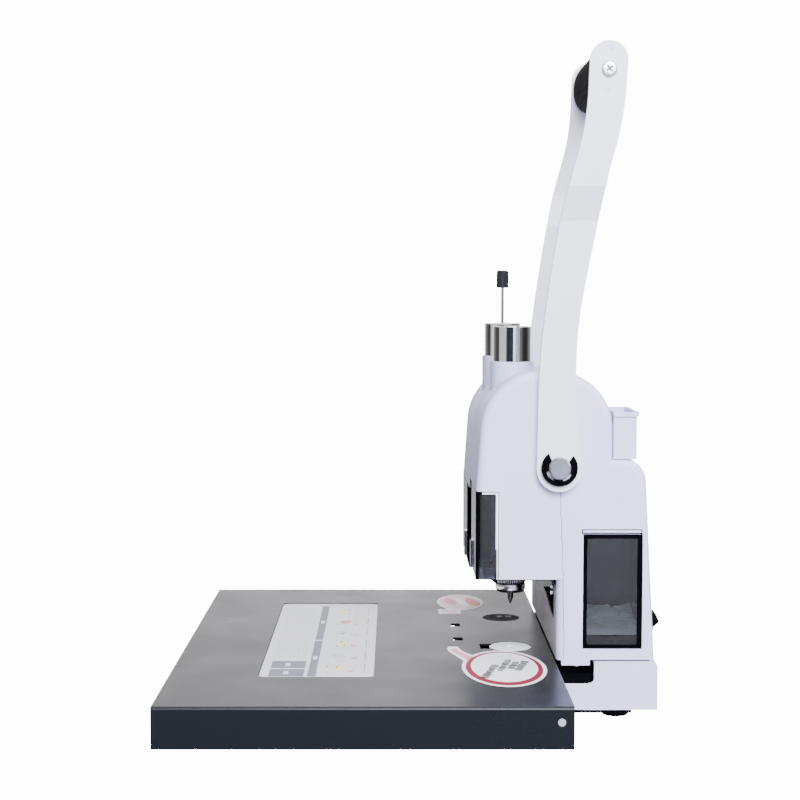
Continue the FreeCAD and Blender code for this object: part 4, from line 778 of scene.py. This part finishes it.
@dataclass
class TableDressing:
    """What lies on the table: card print, two balloon stickers, gauge screws and pad marks."""

    top: float = 43.5
    card_top: float = 42.7
    card_front: float = behind_edge(68.5)
    print_thick: float = 0.06
    over_thick: float = 0.03
    sticker_thick: float = 0.12
    ring_thick: float = 0.04

    def build(self) -> None:
        """Builds every piece on the table."""
        self.card_print()
        self.near_sticker()
        self.far_sticker()
        self.gauge_screws()
        self.pad_marks()

    def card_print(self) -> None:
        """Prints plain bars, panels and simple shapes on the card."""
        draft = Draft("card_print", (
            Finish.INK_GREY, Finish.INK_PALE, Finish.CARD, Finish.INK_YELLOW, Finish.INK_PINK,
            Finish.INK_DARK,
        ))
        grey, pale, paper, yellow, pink, dark = range(6)
        front, low, high = self.card_front, self.card_top, self.card_top + self.print_thick

        def mark(x: Pair, y: Pair, ink: int) -> None:
            """Prints a rectangle, with y from the card's front edge."""
            draft.block((x[0], front + y[0], low), (x[1], front + y[1], high), ink)

        def label(x: Pair, half: float, y: Pair) -> None:
            """Puts a light label in the middle of a rectangle."""
            middle, top = (x[0] + x[1]) / 2, high + self.over_thick
            draft.block(
                (middle - half, front + y[0], high), (middle + half, front + y[1], top), paper
            )

        for bar in ((-142.0, 2.0), (6.0, 131.0)):
            mark(bar, (37.0, 43.5), grey)
            label(bar, 6.0, (38.6, 41.9))
        for panel in ((80.0, 104.0), (107.0, 131.0)):
            mark(panel, (7.0, 34.0), grey)
            label(panel, 5.0, (18.0, 22.0))
        for row in range(9):
            across = 7.5 + 3.0 * row
            mark((-134.0 + 4 * (row % 3), 74.0 - 9 * (row % 4)), (across, across + 0.7), pale)
        mark((-147.0, -145.0), (8.0, 82.0), pale)
        generator = random.Random(7)
        for row, ink in enumerate((yellow, pink, pale, yellow, pale, yellow)):
            start = -132.0 + 44.0 * row
            mark((start, start + 30.0), (80.0, 80.6), grey)
            mark((start + 36.0, start + 36.4), (48.0, 81.0), pale)
            for stroke in (pale, grey, dark, pale, grey):
                x = start + 3 + generator.random() * 26
                y = 49 + generator.random() * 24
                mark((x, x + 2 + generator.random() * 6), (y, y + 0.8), stroke)
            for x, y, radii, fill, segments in (
                (17.0, 58.0 + 2 * (row % 2), (8.0, 5.0), ink, 28),
                (26.0, 70.0, (2.4, 2.4), pink, 20),
            ):
                draft.disc((start + x, front + y, low), radii, self.print_thick, fill, segments)
        draft.finish(Body.MACHINE, "card", smooth=0)

    def balloon(
        self, name: str, centre: Pair, radii: Pair, tail: Sequence[Point], ring: int, fill: int,
    ) -> Draft:
        """Drafts a balloon-shaped sticker: a white plate, a ring of ink and a plain inside.

        Args:
            name: the piece's name.
            centre: the balloon's centre, with y from the table's front edge.
            radii: its half sizes along X and Y.
            tail: (x, y, half width) steps of its tail, from the balloon outwards.
            ring: the number of the ring's finish.
            fill: the number of the inside's finish.

        Returns:
            The draft.
        """
        draft = Draft(name, (
            Finish.STICKER, Finish.INK_RED, Finish.INK_PINK, Finish.INK_DARK, Finish.INK_BLUSH,
            Finish.INK_CORAL,
        ))
        x, y = centre[0], behind_edge(centre[1])
        steps = [(along, behind_edge(across), half) for along, across, half in tail]
        level, tuck = self.top + self.sticker_thick, 0.02
        draft.disc((x, y, self.top), radii, self.sticker_thick, STICKER_WHITE, 96)
        draft.ribbon(steps, self.top, level - tuck, STICKER_WHITE)
        for share, ink, rise in ((0.66, STICKER_BLUSH, 0.0), (0.44, STICKER_PINK, tuck)):
            inner = [(along, across, half * share) for along, across, half in steps[:-1]]
            if len(inner) > 1:
                draft.ribbon(inner, level - tuck + rise, level + rise, ink)
        draft.disc((x, y, level), (radii[0] * 0.93, radii[1] * 0.91), self.ring_thick, ring, 96)
        draft.disc(
            (x - radii[0] * 0.05, y + 0.3, level + self.ring_thick),
            (radii[0] * 0.82, radii[1] * 0.79), self.over_thick, fill, 96,
        )
        return draft

    def near_sticker(self) -> None:
        """The near balloon: white inside a red ring, with slanting rows of plain bars."""
        centre = (106.5, 258.0)
        draft = self.balloon("sticker_near", centre, (60.0, 33.0), (
            (80.0, 237.0, 10.0), (70.0, 231.0, 7.5), (60.0, 226.5, 6.0), (50.0, 222.5, 5.5),
            (40.0, 220.5, 5.0), (32.0, 220.8, 4.0),
        ), STICKER_RED, STICKER_WHITE)
        level = self.top + self.sticker_thick + self.ring_thick + self.over_thick
        generator = random.Random(5)
        turn = Matrix.Rotation(math.radians(-14.5), 2)
        middle = Vector((centre[0], behind_edge(centre[1])))
        for across, x, stop, weight in (
            (-8.5, -8.0, 37.0, 1.5), (-1.5, -28.0, 12.0, 1.4), (5.5, -22.0, 2.0, 1.6),
            (12.0, -26.0, 4.0, 1.5),
        ):
            while x < stop:
                long = 1.2 + 2.2 * generator.random()
                half = (1.4 + 0.9 * generator.random()) * weight
                spot = middle + turn @ Vector((x + long / 2, across))
                lean = Vector((long * 0.48, -long * 0.12))
                ends = [(*(spot + way * lean), half) for way in (-1, 1)]
                draft.ribbon(ends, level, level + self.over_thick, STICKER_DARK)
                x += long + 0.45 + 0.6 * generator.random()
        draft.finish(Body.MACHINE, "card", smooth=0)

    def far_sticker(self) -> None:
        """The far balloon: pink inside a white border, with a squared tail."""
        tail = ((-132.0, 228.0, 7.0), (-124.0, 225.0, 6.0))
        draft = self.balloon(
            "sticker_far", (-158.0, 234.0), (37.0, 21.5), tail, STICKER_BLUSH, STICKER_BLUSH,
        )
        high = self.top + self.sticker_thick
        for x, y, z, ink in (
            ((-124.0, -103.0), span(212.5, 233.0), (self.top, high + 0.01), STICKER_WHITE),
            ((-121.0, -107.0), span(215.0, 230.0), (high, high + 0.04), STICKER_BLUSH),
        ):
            draft.block((x[0], y[0], z[0]), (x[1], y[1], z[1]), ink)
        inside, thick = high + self.ring_thick + self.over_thick, self.over_thick
        for x, y, radii, ink in (
            (-160.0, 225.0, (15.0, 5.5), STICKER_PINK), (-158.0, 235.0, (19.0, 4.0), STICKER_WHITE),
            (-156.0, 246.0, (16.0, 6.0), STICKER_CORAL), (-172.0, 243.0, (7.0, 3.4), STICKER_PINK),
        ):
            draft.disc((x, behind_edge(y), inside), radii, thick, ink, 40, 12.0)
            thick += 0.01
        draft.finish(Body.MACHINE, "card", smooth=0)

    def gauge_screws(self) -> None:
        """The screws in the two gauge slots, with their dark nut plates under the table."""
        draft = Draft("gauge_screws", (Finish.PIN, Finish.MATT))
        y = behind_edge(226.5)
        for x in (2.0, -55.0):
            draft.block((x - 22.0, y - 12.0, 36.8), (x + 22.0, y + 12.0, 37.6), 1)
            draft.rod((x, y, 37.4), (x, y, 41.0), 1.5)
            draft.rod((x, y, 40.8), (x, y, 42.0), 2.2, chamfer=0.5)
        draft.finish(Body.MACHINE, "chrome")

    def pad_marks(self) -> None:
        """Two light index marks on the drill pad."""
        draft = Draft("pad_marks", (Finish.STICKER,))
        half, thick = 2.6, 0.05
        for y in span(267.2, 275.0):
            draft.block((-94.0, y - half, self.top), (-90.5, y + half, self.top + thick))
        draft.finish(Body.PAD, "card", smooth=0)


# ---------------------------------------------------------------- lever
@dataclass
class LeverDressing:
    """The ribbed grip and the cross-headed screws of the lever."""

    ends: Pair = (-22.0, 99.0)
    centre: Pair = (behind_edge(335.9), 505.8)
    half: Pair = (13.9, 20.9)
    tilt: float = -5.0
    ribs: int = 52
    rib_depth: float = 0.9
    rings: int = 48
    screw_faces: tuple[Pair, Pair] = ((104.0, 1), (-27.0, -1))
    cross_turn: float = 38.0

    def build(self) -> None:
        """Builds the lever's pieces."""
        self.grip()
        self.screws()

    def grip(self) -> None:
        """The oval grip, ribbed along its length."""
        draft = Draft("lever_grip_ribbed", (Finish.RUBBER,))
        low, high = self.ends
        rounding, lead, end_share = 0.8, 2.0, 0.92
        step = (high - low - 2 * lead) / self.rings
        steps = [(low, end_share), (low + rounding, 1.0)]
        steps += [(low + lead + step * ring, 1.0) for ring in range(self.rings + 1)]
        steps += [(high - rounding, 1.0), (high, end_share)]
        draft.tube(
            self.ribs * 6, len(steps), lambda number, angle: self._point(*steps[number], angle),
        )
        draft.finish(Body.LEVER, "black_rubber", ["lever_grip"], smooth=60.0)

    def _point(self, x: float, share: float, angle: float) -> Vector:
        """A point of the grip's skin.

        Args:
            x: the place along the grip.
            share: the share of the full section here.
            angle: the place round it, from straight ahead.

        Returns:
            The point in metres.
        """
        finger_side = max(0.0, min(1.0, 0.75 - math.sin(angle)))
        wave = 0.5 + 0.5 * math.cos(self.ribs * angle)
        cross = 0.5 + 0.5 * math.cos(math.tau * x / 5.2)
        depth = self.rib_depth * finger_side * max(wave, 0.45 * cross)
        y = math.cos(angle) * (self.half[0] - depth) * share
        z = math.sin(angle) * (self.half[1] - depth) * share
        turned = Matrix.Rotation(math.radians(self.tilt), 2) @ Vector((y, z))
        return mm(x, self.centre[0] + turned.x, self.centre[1] + turned.y)

    def screws(self) -> None:
        """The cross-headed screws at both ends of the grip."""
        y, z = self.centre
        draft = Draft("grip_screws_crossed", (Finish.SCREW_HEAD,))
        cutter = Draft("cross_cutter")
        # Grey crosses on the recess bottoms, painted as the shade in the cross recesses.
        recess_shadows = Draft("grip_cross_painted_shadows", (Finish.INK_GREY,))
        for face, way in self.screw_faces:
            draft.rod((face - way * 22.5, y, z), (face - way * 0.2, y, z), 2.95)
            draft.rod((face, y, z), (face + way * 2.5, y, z), 6.0, chamfer=1.5, segments=64)
            for piece, start, end, reach, half in (
                (cutter, 1.2, 3.5, 2.9, 0.75), (recess_shadows, 1.15, 1.35, 2.8, 0.68),
            ):
                piece.cross(
                    (face + way * start, y, z), (face + way * end, y, z), reach, half,
                    self.cross_turn,
                )
        draft.finish(
            Body.LEVER, "chrome", ["grip_screws"], after=lambda made: carve(made, cutter.place()),
        )
        recess_shadows.finish(Body.LEVER, "chrome", smooth=0)


# ---------------------------------------------------------------- rivet head
@dataclass
class RivetHeadDressing:
    """The knurled, plated collar that carries the rivet pin."""

    x: float = 30.0
    y: float = behind_edge(268.0)
    low: float = 90.0
    high: float = 112.0
    radius: float = 12.3
    teeth: int = 48
    corners: int = 288

    def build(self) -> None:
        """Builds the collar."""
        draft = Draft("rivet_head_knurled", (Finish.CHROME, Finish.KNURL))
        tall = self.high - self.low
        # Heights above the lower face, how far the ring stands in, and the depth of its flutes.
        rings = (
            (0.0, 6.0, 0.0), (0.0, 1.6, 0.0), (1.9, 0.2, 0.0), (2.4, 0.0, 0.0), (6.4, 0.0, 0.0),
            (6.8, 0.6, 0.0), (7.5, 0.6, 0.0), (7.8, 0.0, 0.0), (8.0, 0.0, 0.7), (12.8, 0.0, 0.7),
            (13.0, 0.0, 0.0), (13.6, 0.4, 0.0), (tall - 0.8, 0.4, 0.0), (tall, 1.0, 0.0),
            (tall, 6.0, 0.0),
        )

        def place(number: int, angle: float) -> Vector:
            """A point of the collar.

            Args:
                number: the number of its ring.
                angle: the place round the axis.

            Returns:
                The point in metres.
            """
            height, inset, depth = rings[number]
            reach = self.radius - inset - depth * (0.5 + 0.5 * math.cos(self.teeth * angle))
            return mm(
                self.x + math.cos(angle) * reach, self.y + math.sin(angle) * reach,
                self.low + height,
            )

        draft.tube(self.corners, len(rings), place)
        # The flute valleys, the bottom band and the groove take the dark finish as painted shade.
        for face in draft.mesh.faces:
            spot = face.calc_center_median() / MM
            level, angle = spot.z - self.low, math.atan2(spot.y - self.y, spot.x - self.x)
            valley = math.cos(self.teeth * angle) > -0.2 and level > 7.9 and len(face.verts) == 4
            if level < 2.2 or 6.4 < level < 7.6 or valley:
                face.material_index = 1
        draft.finish(Body.RIVET, "chrome", ["rivet_head"], smooth=40.0)


# ---------------------------------------------------------------- covers and small trim
@dataclass
class CoverTrim:
    """Seams, painted shade and highlight strips, lips and small screws on the covers."""

    side: float = 88.5
    lip: Pair = span(320.5, 366.5)

    def build(self) -> None:
        """Builds the trim."""
        self.seam()
        self.joints()
        self.bin_lip()
        self.window_edges()
        self.bracket_screws()
        self.guard_stay()

    def strip(
        self, draft: Draft, y: Pair, z: Pair, finish: int = 0, x: Pair = (-0.3, 0.05),
        round_to: float = 0.0,
    ) -> None:
        """Adds a strip on the right side.

        Args:
            draft: the piece it belongs to.
            y: its limits along Y.
            z: its limits along Z.
            finish: the number of its finish.
            x: its limits, from the side's face.
            round_to: the radius of its edges.
        """
        draft.block(
            (self.side + x[0], y[0], z[0]), (self.side + x[1], y[1], z[1]), finish, round_to,
        )

    def seam(self) -> None:
        """The joint between the front and rear halves of the right cover."""
        draft = Draft("cover_seam", (Finish.SEAM,))
        line = ((302.5, 181.0), (303.4, 160.0), (304.2, 140.0), (304.9, 117.0), (305.7, 93.5),
                (306.1, 70.0), (306.5, 46.0))
        half = 0.32
        for (y_top, z_top), (y_low, z_low) in zip(line, line[1:]):
            middle = behind_edge((y_top + y_low) / 2)
            self.strip(draft, (middle - half, middle + half), (z_low, z_top))
        draft.finish(Body.MACHINE, "body_white", smooth=0)

    def joints(self) -> None:
        """Dark painted shade in the gaps under the side cover and under its tower's lower edge."""
        draft = Draft("painted_cover_shadows", (Finish.INK_DARK,))
        self.strip(draft, span(327.0, 374.0), (45.2, 45.9))
        self.strip(draft, span(256.0, 297.0), (109.0, 109.8), x=(-4.5, -0.1))
        draft.finish(Body.MACHINE, "body_white", smooth=0)

    def bin_lip(self) -> None:
        """The raised lip over the waste bin, ringed by matt black strips of painted shadow."""
        draft = Draft("bin_lip", (Finish.BODY, Finish.MATT))
        low, high = self.lip
        self.strip(draft, self.lip, (147.0, 149.0), x=(-0.5, 1.8), round_to=0.8)
        for y, z, proud in (
            ((low - 0.4, high + 0.4), (149.0, 149.8), 0.08),
            ((low - 0.5, high + 0.5), (146.2, 147.0), 0.08),
            ((low - 0.6, low), (146.2, 149.8), 1.2), ((high, high + 0.6), (146.2, 149.8), 1.2),
        ):
            self.strip(draft, y, z, 1, (-0.3, proud))
        draft.finish(Body.MACHINE, "body_white")

    def window_edges(self) -> None:
        """Painted shade and highlights on the edges and fronts of the smoked windows."""
        draft = Draft("window_edges", (
            Finish.EDGE, Finish.MATT, Finish.INK_PALE, Finish.INK_DARK,
        ))
        bright, matt, pale, dark = range(4)
        front, bend, strip, back = (behind_edge(y) for y in (236.3, 241.2, 252.1, 254.0))
        for face, way, low, high in ((self.side, 1, 109.8, 179.1), (-148.0, -1, 100.0, 169.3)):
            x_low, x_high = sorted((face - way * 0.4, face + way * 0.10))
            # Matt black strips at the front are painted shade; the white strips along the top and
            # rear are painted highlights, with a paler one low on the rear edge; dark lines run
            # along the top and behind the rear edge.
            for y, z, ink in (
                ((front, front + 2.4), (low, high), matt),
                ((front + 2.4, bend), (high - 1.3, high), matt),
                ((bend, back), (high - 0.4, high), dark),
                ((bend, strip), (high - 1.7, high - 0.4), bright),
                ((strip, back), (low + 24.0, high - 0.4), bright),
                ((strip + 0.6, back), (low, low + 24.0), pale),
                ((back, back + 0.5), (low, high), dark),
            ):
                draft.block((x_low, y[0], z[0]), (x_high, y[1], z[1]), ink)
        # Matt black strips on the fronts of both windows: painted shade.
        for start, stop, low, high in ((-62.0, -21.8, 101.0, 168.5), (-9.2, 14.0, 110.5, 178.5)):
            draft.block((start, front - 0.10, low), (stop, front + 0.3, high), matt)
        draft.finish(Body.MACHINE, "smoked", smooth=0)

    def bracket_screws(self) -> None:
        """Two bright screws on the stop bracket."""
        draft = Draft("bracket_screws", (Finish.SCREW,))
        y = behind_edge(298.9)
        for z in (99.6, 94.6):
            draft.rod((60.0, y, z), (63.6, y, z), 1.4, chamfer=0.5, segments=24)
        draft.finish(Body.MACHINE, "chrome")

    def guard_stay(self) -> None:
        """The light alloy block that holds the guard inside the right window."""
        draft = Draft("guard_stay", (Finish.ALLOY,))
        draft.block(
            (64.0, behind_edge(243.0), 109.9), (84.5, behind_edge(252.0), 118.6), round_to=0.6,
        )
        draft.finish(Body.MACHINE, "alloy")


@dataclass
class BinDressing:
    """The waste bin's black edge and the chads in it."""

    y: Pair = span(321.5, 367.5)
    z: Pair = (54.9, 145.4)
    face: float = 88.0
    cells: int = 24
    loose: int = 360

    def build(self) -> None:
        """Builds the bin's pieces."""
        self.edge()
        self.chads()

    def edge(self) -> None:
        """The black frame round the bin's face."""
        draft = Draft("bin_edge", (Finish.MATT,))
        (y0, y1), (z0, z1) = self.y, self.z
        inner = (y0 + 2.7, z0 + 2.8, y1 - 3.6, z1 - 3.1)
        draft.frame((self.face - 0.2, self.face + 0.35), (y0, z0, y1, z1), inner, (1.6, 1.0))
        draft.finish(Body.BIN, "black_plastic")

    def chads(self) -> None:
        """A bed of round paper chads on the bin's raised floor. Its sizes are in metres."""
        draft = Draft("paper_chads", (Finish.CHADS, Finish.MATT))
        generator = random.Random(11)
        low = mm(43.0, self.y[0] + 2.4, self.z[0] + 2.0)
        high = mm(85.0, self.y[1] - 2.4, self.z[0] + 27.5)
        size, chad = high - low, Vector((0.0024, 0.0024, 0.0004))
        shelf, slope, margin = low.z + 0.0083, 0.012, 0.003
        draft.block(
            (84.2, self.y[0] + 2.3, self.z[0] + 2.0), (85.2, self.y[1] - 2.3, self.z[0] + 10.3), 1,
        )
        bed = bmesh.ops.create_grid(
            draft.mesh, x_segments=self.cells, y_segments=self.cells, size=0.5,
        )["verts"]
        for vert in bed:
            u, v = vert.co.x + 0.5, vert.co.y + 0.5
            bump = 0.5 + 0.5 * math.sin(7 * u + 2) * math.cos(6 * v) + 0.25 * generator.random()
            top = high.z - 0.006 + 0.006 * bump - slope * u ** 2
            vert.co = Vector((low.x + size.x * u, low.y + size.y * v, top))
        rim = [edge for edge in edges_of(bed) if len(edge.link_faces) == 1]
        walls = bmesh.ops.extrude_edge_only(draft.mesh, edges=rim)["geom"]
        base = set(pick(walls, Vert))
        for vert in base:
            vert.co.z = shelf
        bottom = [edge for edge in pick(walls, Edge) if base.issuperset(edge.verts)]
        bmesh.ops.contextual_create(draft.mesh, geom=bottom)
        for number in range(self.loose):
            on_wall = number % 3 == 0
            x = high.x - 0.0002
            if not on_wall:
                x = low.x + margin + generator.random() * (size.x - 2 * margin)
            y = low.y + margin + generator.random() * (size.y - 2 * margin)
            z = high.z - 0.002 - slope * ((x - low.x) / size.x) ** 2
            if on_wall:
                z = shelf + margin + generator.random() * (z - shelf - 0.004)
            upright, sway = (90.0, 8.0) if on_wall else (0.0, 60.0)
            tip = math.radians(upright + (generator.random() - 0.5) * sway)
            roll = (generator.random() - 0.5) * 0.5
            turn = Matrix.Rotation(roll, 3, "X") @ Matrix.Rotation(tip, 3, "Y")
            draft.roller(chad, turn, Vector((x, y, z)), 10)
        draft.finish(Body.BIN, "card")


@dataclass
class SwitchDressing:
    """The plain mark of the rocker."""

    x: float = 70.0
    y: float = behind_edge(381.4)
    z: float = 75.5

    def build(self) -> None:
        """Builds a bar."""
        draft = Draft("rocker_marks", (Finish.STICKER,))
        low = (self.x - 0.4, self.y - 0.9, self.z + 1.4)
        draft.block(low, (self.x + 0.4, self.y + 0.4, self.z + 3.4))
        draft.finish(Body.ROCKER, "card", smooth=0)


# ---------------------------------------------------------------- studio
@dataclass
class Studio:
    """Floor, world, lights and camera."""

    lens: float = 72.15
    spot: Point = (1.33948, -0.0184, 0.33683)
    yaw: float = 0.0028
    pitch: float = 0.068
    roll: float = 0.0008
    white: float = 14.0
    fill: float = 0.22
    tint: Colour = (0.98, 1.0, 1.12)
    floor_half: float = 2.3

    def build(self) -> None:
        """Builds the studio."""
        self.floor()
        self.world()
        self.lights()
        self.camera()

    def floor(self) -> None:
        """A pale floor that the camera sees as white."""
        draft = Draft("floor")
        bmesh.ops.create_grid(draft.mesh, x_segments=1, y_segments=1, size=self.floor_half)
        made = draft.place()
        paper = Coating(
            "floor_paper", (0.29, 0.29, 0.29), (0.28, 0.28, 0.28), (0.7, 0.8), 40.0, 0.01,
        ).make()
        tree = paper.node_tree
        shader = tree.nodes["Principled BSDF"]
        shader.inputs["Emission Strength"].default_value = self.white
        path = add_node(tree, "LightPath")
        lit = add_node(tree, "Mix", {MIX_A: NO_LIGHT, MIX_B: WHITE}, data_type="RGBA")
        wire(
            tree, (path, "Is Camera Ray", lit, "Factor"), (lit, MIX_OUT, shader, "Emission Color"),
        )
        made.data.materials.append(paper)

    def world(self) -> None:
        """White surroundings, with panels by bearing and a sky that only polished surfaces show."""
        world = bpy.data.worlds.new("studio")
        world.use_nodes = True
        tree = world.node_tree
        tree.nodes.clear()
        out, path, where, apart, ramp, across, first, second, polished = (
            add_node(tree, kind) for kind in (
                "OutputWorld", "LightPath", "TexCoord", "SeparateXYZ", "ValToRGB", "ValToRGB",
                "MixShader", "MixShader", "Background",
            )
        )
        plain = add_node(tree, "Background", {"Color": (*self.tint, 1.0), "Strength": self.fill})
        seen = add_node(tree, "Background", {"Color": WHITE, "Strength": self.white})
        limits = ("From Min", "From Max", "To Min", "To Max")
        share, height, low, side = (
            add_node(tree, "MapRange", dict(zip(limits, values))) for values in (
                (-math.pi, math.pi, 0.0, 1.0), (0.02, 0.16, 0.0, 1.0), (0.16, 0.32, 2.0, 0.60),
                (-0.2, 0.2, 0.0, 1.0),
            )
        )
        angle, both, upper = (
            add_node(tree, "Math", operation=kind) for kind in ("ARCTAN2", "MULTIPLY", "POWER")
        )
        behind = add_node(tree, "Math", {1: -0.7}, operation="LESS_THAN")
        blend = add_node(tree, "Mix", data_type="RGBA")
        sky = add_node(
            tree, "Mix", {"Factor": 1.0, MIX_A: (1.53, 1.5, 1.56, 1.0)}, data_type="RGBA",
            blend_type="MULTIPLY",
        )
        self.stops(ramp.color_ramp, self.panels())
        self.stops(
            across.color_ramp,
            ((0.15, 1.0), (0.50, 1.30), (0.56, 1.25), (0.64, 0.84), (0.75, 0.78)),
        )
        wire(
            tree, (where, "Generated", apart, "Vector"),
            (apart, "Z", low, "Value"), (low, "Result", both, 0),
            (apart, "Y", side, "Value"), (side, "Result", across, "Fac"),
            (across, "Color", both, 1), (both, "Value", upper, 0),
            (apart, "X", behind, 0), (behind, "Value", upper, 1), (upper, "Value", sky, MIX_B),
            (apart, "Y", angle, 0), (apart, "X", angle, 1), (angle, "Value", share, "Value"),
            (share, "Result", ramp, "Fac"), (apart, "Z", height, "Value"),
            (height, "Result", blend, "Factor"), (ramp, "Color", blend, MIX_A),
            (sky, MIX_OUT, blend, MIX_B), (blend, MIX_OUT, polished, "Color"),
            (path, "Is Glossy Ray", first, "Fac"), (plain, "Background", first, 1),
            (polished, "Background", first, 2), (path, "Is Camera Ray", second, "Fac"),
            (first, "Shader", second, 1), (seen, "Background", second, 2),
            (second, "Shader", out, "Surface"),
        )
        bpy.context.scene.world = world

    @staticmethod
    def panels() -> list[tuple[float, float | Colour]]:
        """Bright and dark panels by their first bearing, in degrees from +X towards +Y."""
        bearings = (
            (-180, 1.6), (-152, (1.5, 1.5, 1.45)), (-140, (0.50, 0.49, 0.49)),
            (-124, (0.22, 0.21, 0.22)), (-104, (0.085, 0.082, 0.082)),
            (-88, (0.080, 0.080, 0.072)), (-83, (0.60, 0.60, 0.54)), (-78, (0.98, 0.93, 0.90)),
            (-44, (0.98, 0.95, 0.90)), (-42, (1.5, 1.45, 1.4)), (-38, 0.40),
            (-31, (0.035, 0.042, 0.060)), (6, (0.050, 0.062, 0.105)), (9, (2.2, 2.25, 2.35)),
            (20, (2.2, 2.25, 2.35)), (23, (0.070, 0.080, 0.095)), (30, (0.070, 0.080, 0.095)),
            (33, (0.26, 0.27, 0.29)), (56, (0.22, 0.22, 0.23)), (63, 0.10),
            (72, (0.034, 0.034, 0.029)), (97, (0.046, 0.047, 0.040)), (110, (0.15, 0.15, 0.145)),
            (122, 0.30), (146, 0.50), (180, 1.6),
        )
        return [((bearing + 180) / 360, colour) for bearing, colour in bearings]

    @staticmethod
    def stops(ramp: bpy.types.ColorRamp, rows: Sequence[tuple[float, float | Colour]]) -> None:
        """Fills a colour ramp.

        Args:
            ramp: the ramp.
            rows: (place, grey or colour) rows from low to high.
        """
        while len(ramp.elements) > 1:
            ramp.elements.remove(ramp.elements[-1])
        for number, (place, colour) in enumerate(rows):
            element = ramp.elements.new(place) if number else ramp.elements[0]
            element.position = place
            element.color = (*(colour if isinstance(colour, tuple) else (colour,) * 3), 1.0)

    def lights(self) -> None:
        """Soft boxes: a wide key over the camera's side, and three weak ones round the machine."""
        rows = (
            ("key", (2.0, 0.42, 1.6), (0.0, 0.05, 0.25), 1.6, 226.0),
            ("top", (-0.3, 0.4, 2.4), (0.0, 0.05, 0.2), 1.6, 16.0),
            ("far", (-1.6, -0.08, 2.5), (0.0, 0.0, 0.25), 1.2, 34.0),
            ("back", (0.3, 2.4, 1.2), (0.0, 0.1, 0.2), 1.4, 24.0),
        )
        for name, spot, aim, size, power in rows:
            data = bpy.data.lights.new(name, "AREA")
            data.shape = "SQUARE"
            data.size = size
            data.energy = power
            data.color = self.tint
            made = add_object(name, data)
            made.location = spot
            made.rotation_euler = (Vector(aim) - Vector(spot)).to_track_quat("-Z", "Y").to_euler()

    def camera(self) -> None:
        """The camera, at the height and distance of a product picture of the right side."""
        forward = Vector((
            -math.cos(self.yaw) * math.cos(self.pitch), math.sin(self.yaw) * math.cos(self.pitch),
            -math.sin(self.pitch),
        ))
        level = Vector((math.sin(self.yaw), math.cos(self.yaw), 0.0))
        right = math.cos(self.roll) * level + math.sin(self.roll) * level.cross(forward)
        data = bpy.data.cameras.new("camera")
        data.lens = self.lens
        data.sensor_width = 36.0
        made = add_object("camera", data)
        turn = Matrix((right, right.cross(forward), -forward)).transposed().to_4x4()
        made.matrix_world = Matrix.Translation(self.spot) @ turn
        bpy.context.scene.camera = made


def main() -> None:
    """Builds every sub-assembly in order."""
    dress_nodes()
    for part in (
        TableDressing(), LeverDressing(), RivetHeadDressing(), CoverTrim(), BinDressing(),
        SwitchDressing(), Studio(),
    ):
        part.build()
        log.info("built %s", type(part).__name__)


if __name__ == "__main__":
    main()
